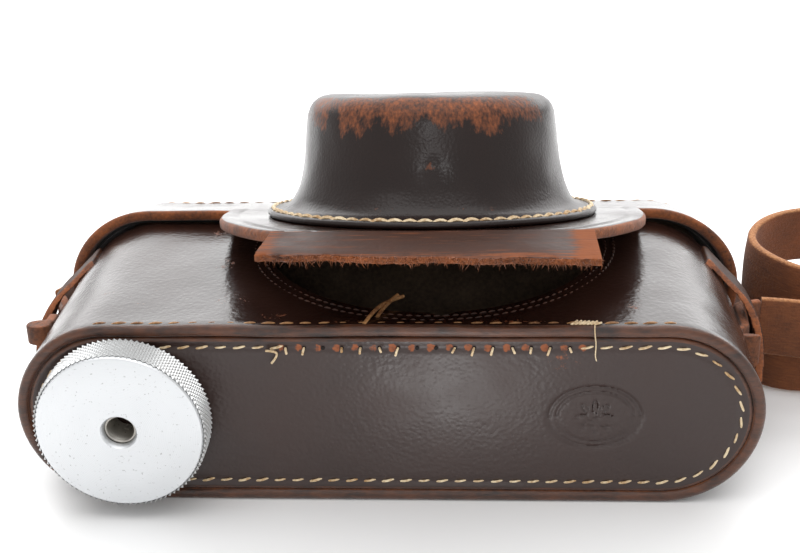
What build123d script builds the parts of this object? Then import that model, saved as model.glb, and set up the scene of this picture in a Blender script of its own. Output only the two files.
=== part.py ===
"""Leather ever ready case for a 35 mm rangefinder camera, lying on its back.

The lower half case, the top cover with its front flap and snout, the captive
fixing screw with its knurled knob and the neck strap, each piece a solid.
X runs along the case's width, +Y from the bottom panel to the top cover,
+Z up from the surface that the back wall rests on.  Millimetres.
"""
import os
from math import cos, degrees, pi, radians, sin, tan

from build123d import *

os.makedirs("parts", exist_ok=True)

# ---- driving dimensions -------------------------------------------------
CASE_WIDTH = 148.0
CASE_DEPTH = 39.4
HALF_LENGTH = 54.0
LEATHER = 2.4
LINING = 0.6
PANEL_INSET = 0.3
BOARD = 1.5
BOTTOM_Y = -HALF_LENGTH / 2
RIM_Y = HALF_LENGTH / 2
END_RADIUS = CASE_DEPTH / 2
END_X = CASE_WIDTH / 2 - END_RADIUS

OPENING_X = 8.5
OPENING_Y = 15.0
OPENING_RADIUS = 35.5
FACING_WIDTH = 6.5
FACING = 0.8
NOTCH = 1.8

STITCH_LENGTH = 2.6
STITCH_PITCH = 3.65
STITCH_WIDTH = 0.6
STITCH_HEIGHT = 0.4
SEAM_INSET = 4.6
WALL_SEAM_INSET = 1.9
TORN_SEAM = (-25.0, 33.0)

KNOB_X = -51.4
KNOB_Z = 20.4
KNOB_RADIUS = 17.15
KNOB_THICKNESS = 7.5
KNOB_GAP = 0.3
KNOB_LIP = 1.4
KNURL_DEPTH = 0.45
KNURL_COUNT = 96
SOCKET_RADIUS = 2.55
SOCKET_DEPTH = 9.0
COUNTERSINK_RADIUS = 3.4
THREAD_RADIUS = 4.76
THREAD_LENGTH = 7.0
NECK_RADIUS = 3.8
NECK_CLEARANCE = 0.07
SCREW_TRAVEL = 5.0
EYELET_WALL = 1.2
EYELET_FLANGE_RADIUS = 8.0
EYELET_FLANGE = 0.5
EYELET_RIM = 0.25
WASHER_RADIUS = 7.5
WASHER_THICKNESS = 0.8

COVER_WIDTH = 155.6
COVER_DEPTH = 42.9
COVER_TOP_WIDTH = 150.0
COVER_TOP_DEPTH = 35.0
COVER_NEAR_Y = 25.0
COVER_BACK_Y = 29.5
COVER_FAR_Y = 51.0

FLAP_TILT = 16.0
SNOUT_X = 8.1
SNOUT_Y = 17.26
SNOUT_Z = 45.45
FLAP_RADIUS = 46.0
FLAP_HOLE_RADIUS = 29.0
HOLE_PLUG_DEPTH = 12.0
FLANGE_RADIUS = 35.6
FLANGE = 1.6
SNOUT_SEAM_RADIUS = 34.4
SNOUT_HEIGHT = 25.7
SNOUT_LEATHER = 2.0
SNOUT_PITCH = 3.05

TONGUE_START = -36.5
TONGUE_TILT = 6.0
TONGUE_LEFT = -31.7
TONGUE_RIGHT = 33.6
TONGUE_SHORT = 12.5
TONGUE_LONG = 16.0

HINGE_Y = 29.2
HINGE_Z = 1.95
BACK_FLAP_WIDTH = 22.0
BACK_FLAP = 1.5
BACK_FLAP_END_Y = 9.0
STUD_Y = 16.0
STUD_CAP_RADIUS = 5.8
STUD_CAP_LOW_Z = 0.4
STUD_WASHER_RADIUS = 4.5
STUD_SHANK_RADIUS = 1.6
ROOT_FAR_Y = 39.9
ROOT_GAP = 0.3
ROOT_SKIVE = 3.9
ROOT_PLATE_WIDTH = 28.0
ROOT_PLATE_LENGTH = 10.0
ROOT_PLATE = 1.2
ROOT_PLATE_Y = 36.0
STUD_BARREL_RADIUS = 4.0
STUD_POST_RADIUS = 2.1
STUD_BORE_RADIUS = 2.5
PATCH = 1.6
PATCH_WIDTH = 34.0
PATCH_CORNER = 4.0
FLAP_TIP_RADIUS = 7.0
STUD_WASHER = 0.8

STRAP_WIDTH = 13.5
STRAP = 2.0
STRAP_END_WIDTH = 8.0
STRAP_ROLL_RADIUS = 2.7
KEEPER = 2.0
KEEPER_WIDTH = 12.0
KEEPER_SLOPE = 0.784
KEEPER_NEAR_Y = -1.0
KEEPER_SLIT_ANGLE = 57.0
STRAP_MID_Z = CASE_DEPTH / 2

# The strap's centre line, from the right keeper to the left one.
STRAP_ROUTE = [
    (80.5, 17.0, 18.5), (97.0, 15.4, 18.5), (115.0, 2.0, 17.0), (130.0, -25.0, 13.0),
    (157.0, -39.0, 8.0), (182.0, -25.0, 7.0), (190.0, 8.0, 7.0), (189.0, 48.0, 7.0),
    (178.0, 82.0, 8.0), (150.0, 94.0, 13.0), (126.0, 76.0, 21.0), (107.0, 55.0, 27.0),
    (88.0, 50.4, 28.0), (79.0, 36.0, 27.0), (88.0, 22.0, 25.0), (106.0, 25.0, 21.0),
    (127.0, 42.0, 14.0), (148.0, 58.0, 8.0), (168.0, 48.0, 7.0), (174.0, 18.0, 7.0),
    (168.0, -12.0, 7.0), (147.0, -24.0, 7.0), (130.0, -10.0, 7.0), (120.0, 8.0, 7.0),
    (104.0, 18.6, 7.0), (80.0, 20.4, 7.0), (80.8, 50.0, 7.0), (76.0, 74.0, 7.0),
    (56.0, 88.0, 7.0), (38.0, 104.0, 7.0), (8.0, 108.0, 7.0), (-22.0, 104.0, 7.0),
    (-42.0, 88.0, 7.0), (-62.0, 78.0, 7.0), (-79.5, 56.0, 8.0), (-80.0, 36.0, 13.0),
    (-77.8, 20.0, 18.5),
]


# ---- helpers ------------------------------------------------------------
def keep(piece, name):
    """Label a finished piece and write its STEP file."""
    piece.part.label = name
    export_step(piece.part, f"parts/{name}.step")


def upright(y):
    """Return the upright plane at a given y, with x along +X and y along +Z."""
    return Plane.XZ.offset(-y)


def stadium_path_point(distance, half_straight, radius, centre_z):
    """Return (x, z, angle) at a distance along a round-ended outline."""
    straight = 2 * half_straight
    arc = pi * radius
    distance = distance % (2 * (straight + arc))
    if distance < straight:
        return -half_straight + distance, centre_z + radius, 0.0
    distance -= straight
    if distance < arc:
        turn = distance / radius
        return half_straight + radius * sin(turn), centre_z + radius * cos(turn), -degrees(turn)
    distance -= arc
    if distance < straight:
        return half_straight - distance, centre_z - radius, 180.0
    turn = (distance - straight) / radius
    return -half_straight - radius * sin(turn), centre_z - radius * cos(turn), 180.0 - degrees(turn)


def seam_spots(half_straight, radius, centre_z, gap=None):
    """Return the stitch locations around a panel, leaving out a torn stretch."""
    length = 4 * half_straight + 2 * pi * radius
    count = round(length / STITCH_PITCH)
    spots = []
    for index in range(count):
        x, z, angle = stadium_path_point(index * length / count, half_straight, radius, centre_z)
        torn = gap is not None and z > centre_z and gap[0] < x < gap[1]
        if not torn:
            spots.append(Location((x, z, 0), (0, 0, angle)))
    return spots


def cover_section(y, inset):
    """Return the cover's outline width and depth at y, inset by a wall."""
    share = (y - COVER_NEAR_Y) / (COVER_FAR_Y - COVER_NEAR_Y)
    width = COVER_WIDTH + share * (COVER_TOP_WIDTH - COVER_WIDTH)
    depth = COVER_DEPTH + share * (COVER_TOP_DEPTH - COVER_DEPTH)
    return width - 2 * inset, depth - 2 * inset, depth / 2


def cover_loft(inset, start, stop):
    """Loft the tapering round-ended body of the cover between two heights."""
    outlines = []
    for y in (start, stop):
        width, depth, middle = cover_section(y, inset)
        with BuildSketch(upright(y)) as outline:
            with Locations((0, middle)):
                SlotOverall(width, depth)
        outlines.append(outline.sketch)
    return loft(outlines, mode=Mode.PRIVATE)


def cover_edge_cut(clearance):
    """Return the block in front of the cover's sloping near edge."""
    slope = (COVER_BACK_Y - COVER_NEAR_Y) / COVER_DEPTH
    low = -10.0
    high = 90.0
    with BuildPart() as cut:
        with BuildSketch(Plane.YZ):
            with BuildLine():
                Polyline(
                    (-60, low),
                    (COVER_BACK_Y + clearance - slope * low, low),
                    (COVER_BACK_Y + clearance - slope * high, high),
                    (-60, high),
                    close=True,
                )
            make_face()
        extrude(amount=100, both=True)
    return cut.part


# ---- lower half case ----------------------------------------------------
inner_width = CASE_WIDTH - 2 * LEATHER
inner_depth = CASE_DEPTH - 2 * LEATHER
lined_width = inner_width - 2 * LINING
lined_depth = inner_depth - 2 * LINING
panel_face_y = BOTTOM_Y + PANEL_INSET
panel_back_y = panel_face_y + LEATHER
board_back_y = panel_back_y + BOARD
floor_y = board_back_y + LINING
mid_z = CASE_DEPTH / 2


def opening_tool(radius, depth, bottom):
    """Return a U-shaped block that is open at the rim."""
    with BuildPart() as tool:
        with BuildSketch(Plane.XY.offset(bottom)):
            with Locations((OPENING_X, OPENING_Y)):
                Circle(radius)
            with Locations((OPENING_X, OPENING_Y + 20)):
                Rectangle(2 * radius, 40)
        extrude(amount=depth)
    return tool.part


def keeper_slits():
    """Return the blocks of the four slits that the keepers' ends pass through."""
    tools = []
    for side in (-1, 1):
        for end in (-1, 1):
            angle = radians(end * KEEPER_SLIT_ANGLE)
            with BuildPart() as tool:
                with BuildSketch(Plane.XZ.offset(-60)):
                    with Locations(
                        Location((
                            side * (END_X + (END_RADIUS - 1.5) * cos(angle)),
                            mid_z + (END_RADIUS - 1.5) * sin(angle),
                        ), (0, 0, side * end * KEEPER_SLIT_ANGLE))
                    ):
                        Rectangle(9.0, KEEPER + 0.1)
                extrude(amount=120)
                add(keeper_band(0.2), mode=Mode.INTERSECT)
            tools.append(tool.part)
    return tools


def keeper_band(clearance):
    """Return the sloping slab that a keeper is cut from, seen from the side."""
    low = -5.0
    high = 50.0
    near_low = KEEPER_NEAR_Y + KEEPER_SLOPE * (low - mid_z) - clearance
    near_high = KEEPER_NEAR_Y + KEEPER_SLOPE * (high - mid_z) - clearance
    width = KEEPER_WIDTH + 2 * clearance
    with BuildPart() as band:
        with BuildSketch(Plane.YZ):
            with BuildLine():
                Polyline(
                    (near_low, low),
                    (near_low + width, low),
                    (near_high + width, high),
                    (near_high, high),
                    close=True,
                )
            make_face()
        extrude(amount=100, both=True)
    return band.part


slits = keeper_slits()
pocket_half = BACK_FLAP_WIDTH / 2 + 0.6

with BuildPart() as half_case_wall:
    with BuildSketch(upright(BOTTOM_Y)):
        with Locations((0, mid_z)):
            SlotOverall(CASE_WIDTH, CASE_DEPTH)
            SlotOverall(inner_width, inner_depth, mode=Mode.SUBTRACT)
    extrude(amount=-HALF_LENGTH)
    add(opening_tool(OPENING_RADIUS, 10, CASE_DEPTH - 5), mode=Mode.SUBTRACT)
    with BuildSketch(Plane.XY.offset(CASE_DEPTH - 5)):
        with BuildLine():
            Polyline(
                (OPENING_X + 3 - NOTCH, OPENING_Y - OPENING_RADIUS + 1),
                (OPENING_X + 3, OPENING_Y - OPENING_RADIUS - NOTCH),
                (OPENING_X + 3 + NOTCH, OPENING_Y - OPENING_RADIUS + 1),
                close=True,
            )
        make_face()
    extrude(amount=10, mode=Mode.SUBTRACT)
    for slit in slits:
        add(slit, mode=Mode.SUBTRACT)
    with Locations((0, (BACK_FLAP_END_Y + RIM_Y) / 2, LEATHER / 2)):
        Box(2 * pocket_half, RIM_Y - BACK_FLAP_END_Y + 1.2, LEATHER + 1, mode=Mode.SUBTRACT)
keep(half_case_wall, "half_case_wall")

with BuildPart() as half_case_lining:
    with BuildSketch(upright(panel_back_y)):
        with Locations((0, mid_z)):
            SlotOverall(inner_width, inner_depth)
            SlotOverall(lined_width, lined_depth, mode=Mode.SUBTRACT)
    extrude(amount=-(RIM_Y - 0.6 - panel_back_y))
    add(opening_tool(OPENING_RADIUS, 10, CASE_DEPTH - 5), mode=Mode.SUBTRACT)
    for slit in slits:
        add(slit, mode=Mode.SUBTRACT)
    with Locations((0, (BACK_FLAP_END_Y + RIM_Y) / 2, LEATHER)):
        Box(2 * pocket_half, RIM_Y - BACK_FLAP_END_Y + 1.2, 2 * LEATHER, mode=Mode.SUBTRACT)
keep(half_case_lining, "half_case_lining")

with BuildPart() as bottom_panel:
    with BuildSketch(upright(panel_face_y)):
        with Locations((0, mid_z)):
            SlotOverall(inner_width, inner_depth)
        with Locations((KNOB_X, KNOB_Z)):
            Circle(NECK_RADIUS + NECK_CLEARANCE + EYELET_WALL, mode=Mode.SUBTRACT)
    extrude(amount=-LEATHER)
keep(bottom_panel, "bottom_panel")

with BuildPart() as bottom_board:
    with BuildSketch(upright(panel_back_y)):
        with Locations((0, mid_z)):
            SlotOverall(lined_width, lined_depth)
        with Locations((KNOB_X, KNOB_Z)):
            Circle(NECK_RADIUS + NECK_CLEARANCE + EYELET_WALL, mode=Mode.SUBTRACT)
    extrude(amount=-BOARD)
keep(bottom_board, "bottom_board")

with BuildPart() as bottom_lining:
    with BuildSketch(upright(board_back_y)):
        with Locations((0, mid_z)):
            SlotOverall(lined_width, lined_depth)
        with Locations((KNOB_X, KNOB_Z)):
            Circle(NECK_RADIUS + NECK_CLEARANCE + EYELET_WALL, mode=Mode.SUBTRACT)
    extrude(amount=-LINING)
keep(bottom_lining, "bottom_lining")

with BuildPart() as bottom_seam_thread:
    with BuildSketch(upright(panel_face_y - STITCH_HEIGHT)):
        with Locations(*seam_spots(END_X, END_RADIUS - SEAM_INSET, mid_z, TORN_SEAM)):
            SlotOverall(STITCH_LENGTH, STITCH_WIDTH)
    extrude(amount=-STITCH_HEIGHT)
keep(bottom_seam_thread, "bottom_seam_thread")

with BuildPart() as wall_seam_thread:
    wall_seam_y = BOTTOM_Y + WALL_SEAM_INSET
    wall_seam_count = round(2 * END_X / STITCH_PITCH)
    with Locations(*[
        (-END_X + (index + 0.5) * 2 * END_X / wall_seam_count, wall_seam_y, CASE_DEPTH + 0.15)
        for index in range(wall_seam_count)
    ]):
        Box(STITCH_LENGTH, STITCH_WIDTH, 0.3)
keep(wall_seam_thread, "wall_seam_thread")

with BuildPart() as opening_facing:
    facing_top = CASE_DEPTH - LEATHER - LINING
    add(opening_tool(OPENING_RADIUS + FACING_WIDTH, FACING, facing_top - FACING))
    add(opening_tool(OPENING_RADIUS, 3, facing_top - 2), mode=Mode.SUBTRACT)
    with Locations((0, RIM_Y + 24.4, facing_top), (0, floor_y - 24.7, facing_top)):
        Box(200, 50, 10, mode=Mode.SUBTRACT)
keep(opening_facing, "opening_facing")

with BuildPart() as opening_thread:
    for row in (1.6, 3.4):
        with BuildSketch(Plane.XY.offset(CASE_DEPTH)):
            with BuildLine():
                CenterArc((OPENING_X, OPENING_Y), OPENING_RADIUS + row, 180, 180)
                Line(
                    (OPENING_X - OPENING_RADIUS - row, OPENING_Y),
                    (OPENING_X - OPENING_RADIUS - row, RIM_Y - 1.5),
                )
                Line(
                    (OPENING_X + OPENING_RADIUS + row, OPENING_Y),
                    (OPENING_X + OPENING_RADIUS + row, RIM_Y - 1.5),
                )
            trace(line_width=0.5)
        extrude(amount=0.2)
keep(opening_thread, "opening_thread")


# ---- strap keepers on both ends -----------------------------------------
def keeper_profile(side):
    """Sketch a keeper's bulging band with its two legs through the wall."""
    slit = radians(KEEPER_SLIT_ANGLE)
    outer = END_RADIUS + KEEPER / 2 + 0.15
    with BuildSketch(Plane.XZ.offset(-60)) as profile:
        with BuildLine():
            Spline(
                (side * (END_X + outer * cos(slit)), mid_z + outer * sin(slit)),
                (side * (END_X + 20.3), mid_z + 11.8),
                (side * (END_X + 23.6), mid_z),
                (side * (END_X + 20.3), mid_z - 11.8),
                (side * (END_X + outer * cos(slit)), mid_z - outer * sin(slit)),
                tangents=(
                    (side * sin(slit), -cos(slit)),
                    (-side * sin(slit), -cos(slit)),
                ),
            )
        trace(line_width=KEEPER)
        for end in (-1, 1):
            middle = END_RADIUS - 0.6
            with Locations(
                Location((
                    side * (END_X + middle * cos(slit)),
                    mid_z + end * middle * sin(slit),
                ), (0, 0, side * end * KEEPER_SLIT_ANGLE))
            ):
                Rectangle(5.0, KEEPER)
    return profile.sketch


for side, name in ((-1, "left_keeper"), (1, "right_keeper")):
    keeper_sketch = keeper_profile(side)
    keeper_cut = keeper_band(0.0)
    with BuildPart() as keeper:
        extrude(to_extrude=keeper_sketch, amount=120, dir=(0, -1, 0))
        add(keeper_cut, mode=Mode.INTERSECT)
    keep(keeper, name)


# ---- strap ends held by the keepers -------------------------------------
strap_end_x = END_X + END_RADIUS + 0.2 + STRAP / 2
for side, name in ((-1, "strap_end_left"), (1, "strap_end_right")):
    exit_point = STRAP_ROUTE[0] if side > 0 else STRAP_ROUTE[-1]
    with BuildPart() as strap_end:
        with BuildSketch(Plane.XY.offset(mid_z - STRAP_END_WIDTH / 2)):
            with BuildLine():
                FilletPolyline(
                    (side * strap_end_x, KEEPER_NEAR_Y - 5.0),
                    (side * strap_end_x, KEEPER_NEAR_Y + KEEPER_WIDTH + 4.2),
                    (exit_point[0], exit_point[1]),
                    radius=1.2,
                )
            trace(line_width=STRAP)
            with Locations((side * (strap_end_x + 2.0), KEEPER_NEAR_Y - 6.4)):
                Circle(STRAP_ROLL_RADIUS)
        extrude(amount=STRAP_END_WIDTH)
    keep(strap_end, name)


# ---- neck strap ---------------------------------------------------------
def strap_radii(points):
    """Return the bend radius at each corner of the route, from its two runs."""
    radii = []
    for before, corner, after in zip(points, points[1:], points[2:]):
        first = Vector(*corner) - Vector(*before)
        second = Vector(*after) - Vector(*corner)
        half_turn = radians(first.get_angle(second)) / 2
        radii.append(0.45 * min(first.length, second.length) / tan(half_turn))
    return radii


route_radii = strap_radii(STRAP_ROUTE)
with BuildPart() as neck_strap:
    with BuildLine() as strap_line:
        FilletPolyline(*STRAP_ROUTE, radius=route_radii)
    strap_wire = strap_line.wires()[0]
    strap_start = Plane(
        origin=strap_wire @ 0,
        x_dir=Vector(0, 0, 1).cross(strap_wire % 0),
        z_dir=strap_wire % 0,
    )
    with BuildSketch(strap_start):
        Rectangle(STRAP, STRAP_WIDTH)
    sweep(path=strap_wire, binormal=strap_wire.moved(Location((0, 0, 30))))
keep(neck_strap, "neck_strap")
strap_ratio = neck_strap.part.volume / (strap_wire.length * STRAP * STRAP_WIDTH)
print("strap radii", [round(value, 1) for value in route_radii])
print("strap length", round(strap_wire.length, 1))
print("strap volume over section times length", round(strap_ratio, 3))


# ---- captive fixing screw and knob --------------------------------------
knob_back_y = BOTTOM_Y - KNOB_GAP
knob_front_y = knob_back_y - KNOB_THICKNESS
screw_front_y = knob_front_y + KNOB_LIP
shoulder_y = floor_y + EYELET_FLANGE + SCREW_TRAVEL + WASHER_THICKNESS + 0.1
screw_end_y = shoulder_y + THREAD_LENGTH


def disc(y, radius, length, mode=Mode.ADD):
    """Add or cut a round slice on the screw's axis, from y towards the case's top."""
    with BuildSketch(upright(y)) as section:
        with Locations((KNOB_X, KNOB_Z)):
            Circle(radius)
    extrude(section.sketch, amount=length, dir=(0, 1, 0), mode=mode)


with BuildPart() as knob:
    with BuildSketch(upright(knob_front_y)):
        with Locations((KNOB_X, KNOB_Z)):
            Circle(KNOB_RADIUS)
            with PolarLocations(KNOB_RADIUS + 0.35, KNURL_COUNT):
                Rectangle(2 * KNURL_DEPTH, 2 * KNURL_DEPTH, rotation=45, mode=Mode.SUBTRACT)
    extrude(amount=-KNOB_THICKNESS)
    disc(knob_front_y, COUNTERSINK_RADIUS, KNOB_LIP, Mode.SUBTRACT)
    disc(screw_front_y, THREAD_RADIUS, KNOB_THICKNESS, Mode.SUBTRACT)
keep(knob, "knob")

with BuildPart() as fixing_screw:
    disc(screw_front_y, THREAD_RADIUS, knob_back_y - screw_front_y)
    disc(knob_back_y, NECK_RADIUS, shoulder_y - knob_back_y)
    disc(shoulder_y, THREAD_RADIUS, THREAD_LENGTH)
    screw_tip = fixing_screw.edges().filter_by(GeomType.CIRCLE).sort_by(Axis.Y)[-1]
    chamfer(screw_tip, length=0.8)
    disc(screw_front_y, SOCKET_RADIUS, SOCKET_DEPTH, Mode.SUBTRACT)
keep(fixing_screw, "fixing_screw")

with BuildPart() as captive_washer:
    washer_y = shoulder_y - WASHER_THICKNESS - 0.1
    disc(washer_y, WASHER_RADIUS, WASHER_THICKNESS)
    disc(washer_y - 1, NECK_RADIUS + NECK_CLEARANCE, 4, Mode.SUBTRACT)
keep(captive_washer, "captive_washer")

with BuildPart() as screw_eyelet:
    disc(panel_face_y - EYELET_RIM, EYELET_FLANGE_RADIUS, EYELET_RIM)
    disc(panel_face_y, NECK_RADIUS + NECK_CLEARANCE + EYELET_WALL, floor_y - panel_face_y)
    disc(floor_y, EYELET_FLANGE_RADIUS, EYELET_FLANGE)
    disc(panel_face_y - 1, NECK_RADIUS + NECK_CLEARANCE, 20, Mode.SUBTRACT)
keep(screw_eyelet, "screw_eyelet")


# ---- press stud and back flap -------------------------------------------
lined_floor_z = LEATHER + LINING
flap_low_z = HINGE_Z - BACK_FLAP / 2
flap_high_z = HINGE_Z + BACK_FLAP / 2

with BuildPart() as stud_patch:
    with Locations((0, (BACK_FLAP_END_Y - 4 + RIM_Y - 1) / 2, lined_floor_z + PATCH / 2)):
        Box(PATCH_WIDTH, RIM_Y - 1 - BACK_FLAP_END_Y + 4, PATCH)
    fillet(stud_patch.edges().filter_by(Axis.Z), radius=PATCH_CORNER)
    with Locations((0, STUD_Y, lined_floor_z)):
        Cylinder(STUD_SHANK_RADIUS, 10, mode=Mode.SUBTRACT)
keep(stud_patch, "stud_patch")

with BuildPart() as stud_post:
    with BuildSketch(Plane.XY.offset(flap_low_z + 0.4)):
        with Locations((0, STUD_Y)):
            Circle(STUD_POST_RADIUS)
    extrude(amount=lined_floor_z - flap_low_z - 0.4)
    with BuildSketch(Plane.XY.offset(lined_floor_z)):
        with Locations((0, STUD_Y)):
            Circle(STUD_SHANK_RADIUS)
    extrude(amount=PATCH)
    with BuildSketch(Plane.XY.offset(lined_floor_z + PATCH)):
        with Locations((0, STUD_Y)):
            Circle(STUD_WASHER_RADIUS)
    extrude(amount=STUD_WASHER)
keep(stud_post, "stud_post")

with BuildPart() as back_flap:
    with Locations((0, (BACK_FLAP_END_Y + 0.5 + HINGE_Y) / 2, HINGE_Z)):
        Box(BACK_FLAP_WIDTH, HINGE_Y - BACK_FLAP_END_Y - 0.5, BACK_FLAP)
    flap_tip = back_flap.edges().filter_by(Axis.Z).group_by(Axis.Y)[0]
    fillet(flap_tip, radius=FLAP_TIP_RADIUS)
    with BuildSketch(Plane.YZ.offset(-BACK_FLAP_WIDTH / 2)):
        with Locations((HINGE_Y, HINGE_Z)):
            Circle(BACK_FLAP / 2)
    extrude(amount=BACK_FLAP_WIDTH)
    with Locations((0, STUD_Y, HINGE_Z)):
        Cylinder(STUD_BARREL_RADIUS, 10, mode=Mode.SUBTRACT)
keep(back_flap, "back_flap")

with BuildPart() as stud_cap:
    with BuildSketch(Plane.XY.offset(STUD_CAP_LOW_Z)):
        with Locations((0, STUD_Y)):
            Circle(STUD_CAP_RADIUS)
    extrude(amount=flap_low_z - STUD_CAP_LOW_Z)
    with BuildSketch(Plane.XY.offset(flap_low_z)):
        with Locations((0, STUD_Y)):
            Circle(STUD_BARREL_RADIUS)
            Circle(STUD_BORE_RADIUS, mode=Mode.SUBTRACT)
    extrude(amount=BACK_FLAP)
keep(stud_cap, "stud_cap")

with BuildPart() as back_flap_root:
    # The near edge is skived, so the flap can fold against it when the cover is open.
    root_near_y = HINGE_Y + BACK_FLAP / 2 + 0.1
    with BuildSketch(Plane.YZ.offset(-BACK_FLAP_WIDTH / 2)):
        with BuildLine():
            Polyline(
                (root_near_y, lined_floor_z),
                (root_near_y, HINGE_Z + 0.65),
                (root_near_y + ROOT_SKIVE, flap_low_z),
                (ROOT_FAR_Y, flap_low_z),
                (ROOT_FAR_Y, lined_floor_z),
                close=True,
            )
        make_face()
    extrude(amount=BACK_FLAP_WIDTH)
    with Locations((0, ROOT_PLATE_Y, lined_floor_z + ROOT_PLATE / 2)):
        Box(ROOT_PLATE_WIDTH, ROOT_PLATE_LENGTH, ROOT_PLATE)
keep(back_flap_root, "back_flap_root")


# ---- top cover ----------------------------------------------------------
tilt = radians(FLAP_TILT)
flap_plane = Plane(
    origin=(SNOUT_X, SNOUT_Y, SNOUT_Z),
    x_dir=(1, 0, 0),
    z_dir=(0, sin(tilt), cos(tilt)),
)


def snout_hole():
    """Return the round plug that clears the cover's front under the snout."""
    with BuildPart() as plug:
        with BuildSketch(flap_plane.offset(-HOLE_PLUG_DEPTH)):
            Circle(FLAP_HOLE_RADIUS)
        extrude(amount=HOLE_PLUG_DEPTH + 2)
    return plug.part


edge_cut = cover_edge_cut(0.0)
lining_cut = cover_edge_cut(2.8)
panel_y = COVER_FAR_Y - PANEL_INSET - LEATHER
board_y = panel_y - BOARD
notch_width = BACK_FLAP_WIDTH + 4 * ROOT_GAP
notch_length = ROOT_FAR_Y + ROOT_GAP - (COVER_BACK_Y - 1)
notch_middle_y = COVER_BACK_Y - 1 + notch_length / 2

with BuildPart() as cover_wall:
    add(cover_loft(0.0, COVER_NEAR_Y - 1, COVER_FAR_Y))
    add(cover_loft(LEATHER, COVER_NEAR_Y - 2, COVER_FAR_Y + 1), mode=Mode.SUBTRACT)
    add(edge_cut, mode=Mode.SUBTRACT)
    with Locations((0, notch_middle_y, LEATHER / 2)):
        Box(notch_width, notch_length, LEATHER + 1, mode=Mode.SUBTRACT)
    add(snout_hole(), mode=Mode.SUBTRACT)
keep(cover_wall, "cover_wall")

with BuildPart() as cover_lining:
    add(cover_loft(LEATHER, COVER_NEAR_Y - 1, panel_y))
    add(cover_loft(LEATHER + LINING, COVER_NEAR_Y - 2, panel_y + 1), mode=Mode.SUBTRACT)
    add(lining_cut, mode=Mode.SUBTRACT)
    with Locations((0, notch_middle_y, LEATHER)):
        Box(notch_width, notch_length, 2 * LEATHER, mode=Mode.SUBTRACT)
    add(snout_hole(), mode=Mode.SUBTRACT)
keep(cover_lining, "cover_lining")

with BuildPart() as top_panel:
    add(cover_loft(LEATHER, panel_y, panel_y + LEATHER))
keep(top_panel, "top_panel")

with BuildPart() as top_board:
    add(cover_loft(LEATHER + LINING, board_y, panel_y))
keep(top_board, "top_board")

with BuildPart() as top_seam_thread:
    top_width, top_depth, top_middle = cover_section(COVER_FAR_Y, SEAM_INSET)
    top_radius = top_depth / 2
    with BuildSketch(upright(panel_y + LEATHER)):
        with Locations(*seam_spots(top_width / 2 - top_radius, top_radius, top_middle)):
            SlotOverall(STITCH_LENGTH, STITCH_WIDTH)
    extrude(amount=-STITCH_HEIGHT)
keep(top_seam_thread, "top_seam_thread")


# ---- front flap, tongue and snout ---------------------------------------
tongue_tilt = radians(TONGUE_TILT)
tongue_plane = Plane(
    origin=flap_plane.from_local_coords((0, TONGUE_START, 0)),
    x_dir=(1, 0, 0),
    z_dir=(0, sin(tongue_tilt), cos(tongue_tilt)),
)

with BuildPart() as front_flap:
    with BuildSketch(flap_plane):
        Circle(FLAP_RADIUS)
        with Locations((0, 10)):
            Rectangle(2 * FLAP_RADIUS, 20)
        Circle(FLAP_HOLE_RADIUS, mode=Mode.SUBTRACT)
        with Locations(((TONGUE_LEFT + TONGUE_RIGHT) / 2, TONGUE_START - 10)):
            Rectangle(TONGUE_RIGHT - TONGUE_LEFT, 20, mode=Mode.SUBTRACT)
    extrude(amount=-LEATHER)
    with BuildSketch(tongue_plane):
        with BuildLine():
            Polyline(
                (TONGUE_LEFT, 0.6),
                (TONGUE_LEFT, -TONGUE_SHORT),
                (TONGUE_RIGHT, -TONGUE_LONG),
                (TONGUE_RIGHT, 0.6),
                close=True,
            )
        make_face()
    extrude(amount=-LEATHER)
    add(edge_cut, mode=Mode.INTERSECT)
keep(front_flap, "front_flap")

with BuildPart() as snout:
    with BuildSketch(Plane(origin=flap_plane.origin, x_dir=(1, 0, 0), z_dir=-flap_plane.y_dir)):
        with BuildLine():
            outer_wall = Spline((32.0, FLANGE), (28.4, 8.0), (27.3, 15.0), (26.9, 21.0))
            top_round = RadiusArc(outer_wall @ 1, (22.6, SNOUT_HEIGHT), -4.6)
            Line(top_round @ 1, (0, SNOUT_HEIGHT))
            Line((0, SNOUT_HEIGHT), (0, SNOUT_HEIGHT - SNOUT_LEATHER))
            inner_round = Line((0, SNOUT_HEIGHT - SNOUT_LEATHER), (22.0, SNOUT_HEIGHT - SNOUT_LEATHER))
            inner_wall = Spline((24.8, 21.0), (25.3, 15.0), (26.4, 8.0), (29.0, 0.0))
            Line(inner_round @ 1, inner_wall @ 0)
            Line(inner_wall @ 1, (FLANGE_RADIUS, 0))
            Line((FLANGE_RADIUS, 0), (FLANGE_RADIUS, FLANGE))
            Line((FLANGE_RADIUS, FLANGE), (32.0, FLANGE))
        make_face()
    revolve(axis=Axis(flap_plane.origin, flap_plane.z_dir), revolution_arc=360)
keep(snout, "snout")

with BuildPart() as snout_lining:
    with BuildSketch(Plane(origin=flap_plane.origin, x_dir=(1, 0, 0), z_dir=-flap_plane.y_dir)):
        with BuildLine():
            lining_outer = Spline((24.6, 20.0), (25.1, 15.0), (26.2, 8.0), (28.8, -0.5))
            lining_inner = Spline((24.0, 20.0), (24.5, 15.0), (25.6, 8.0), (28.2, -0.5))
            Line(lining_outer @ 1, lining_inner @ 1)
            Line(lining_inner @ 0, (21.6, 22.9))
            Line((21.6, 22.9), (0, 22.9))
            Line((0, 22.9), (0, 23.5))
            Line((0, 23.5), (21.9, 23.5))
            Line((21.9, 23.5), lining_outer @ 0)
        make_face()
    revolve(axis=Axis(flap_plane.origin, flap_plane.z_dir), revolution_arc=360)
keep(snout_lining, "snout_lining")

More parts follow.
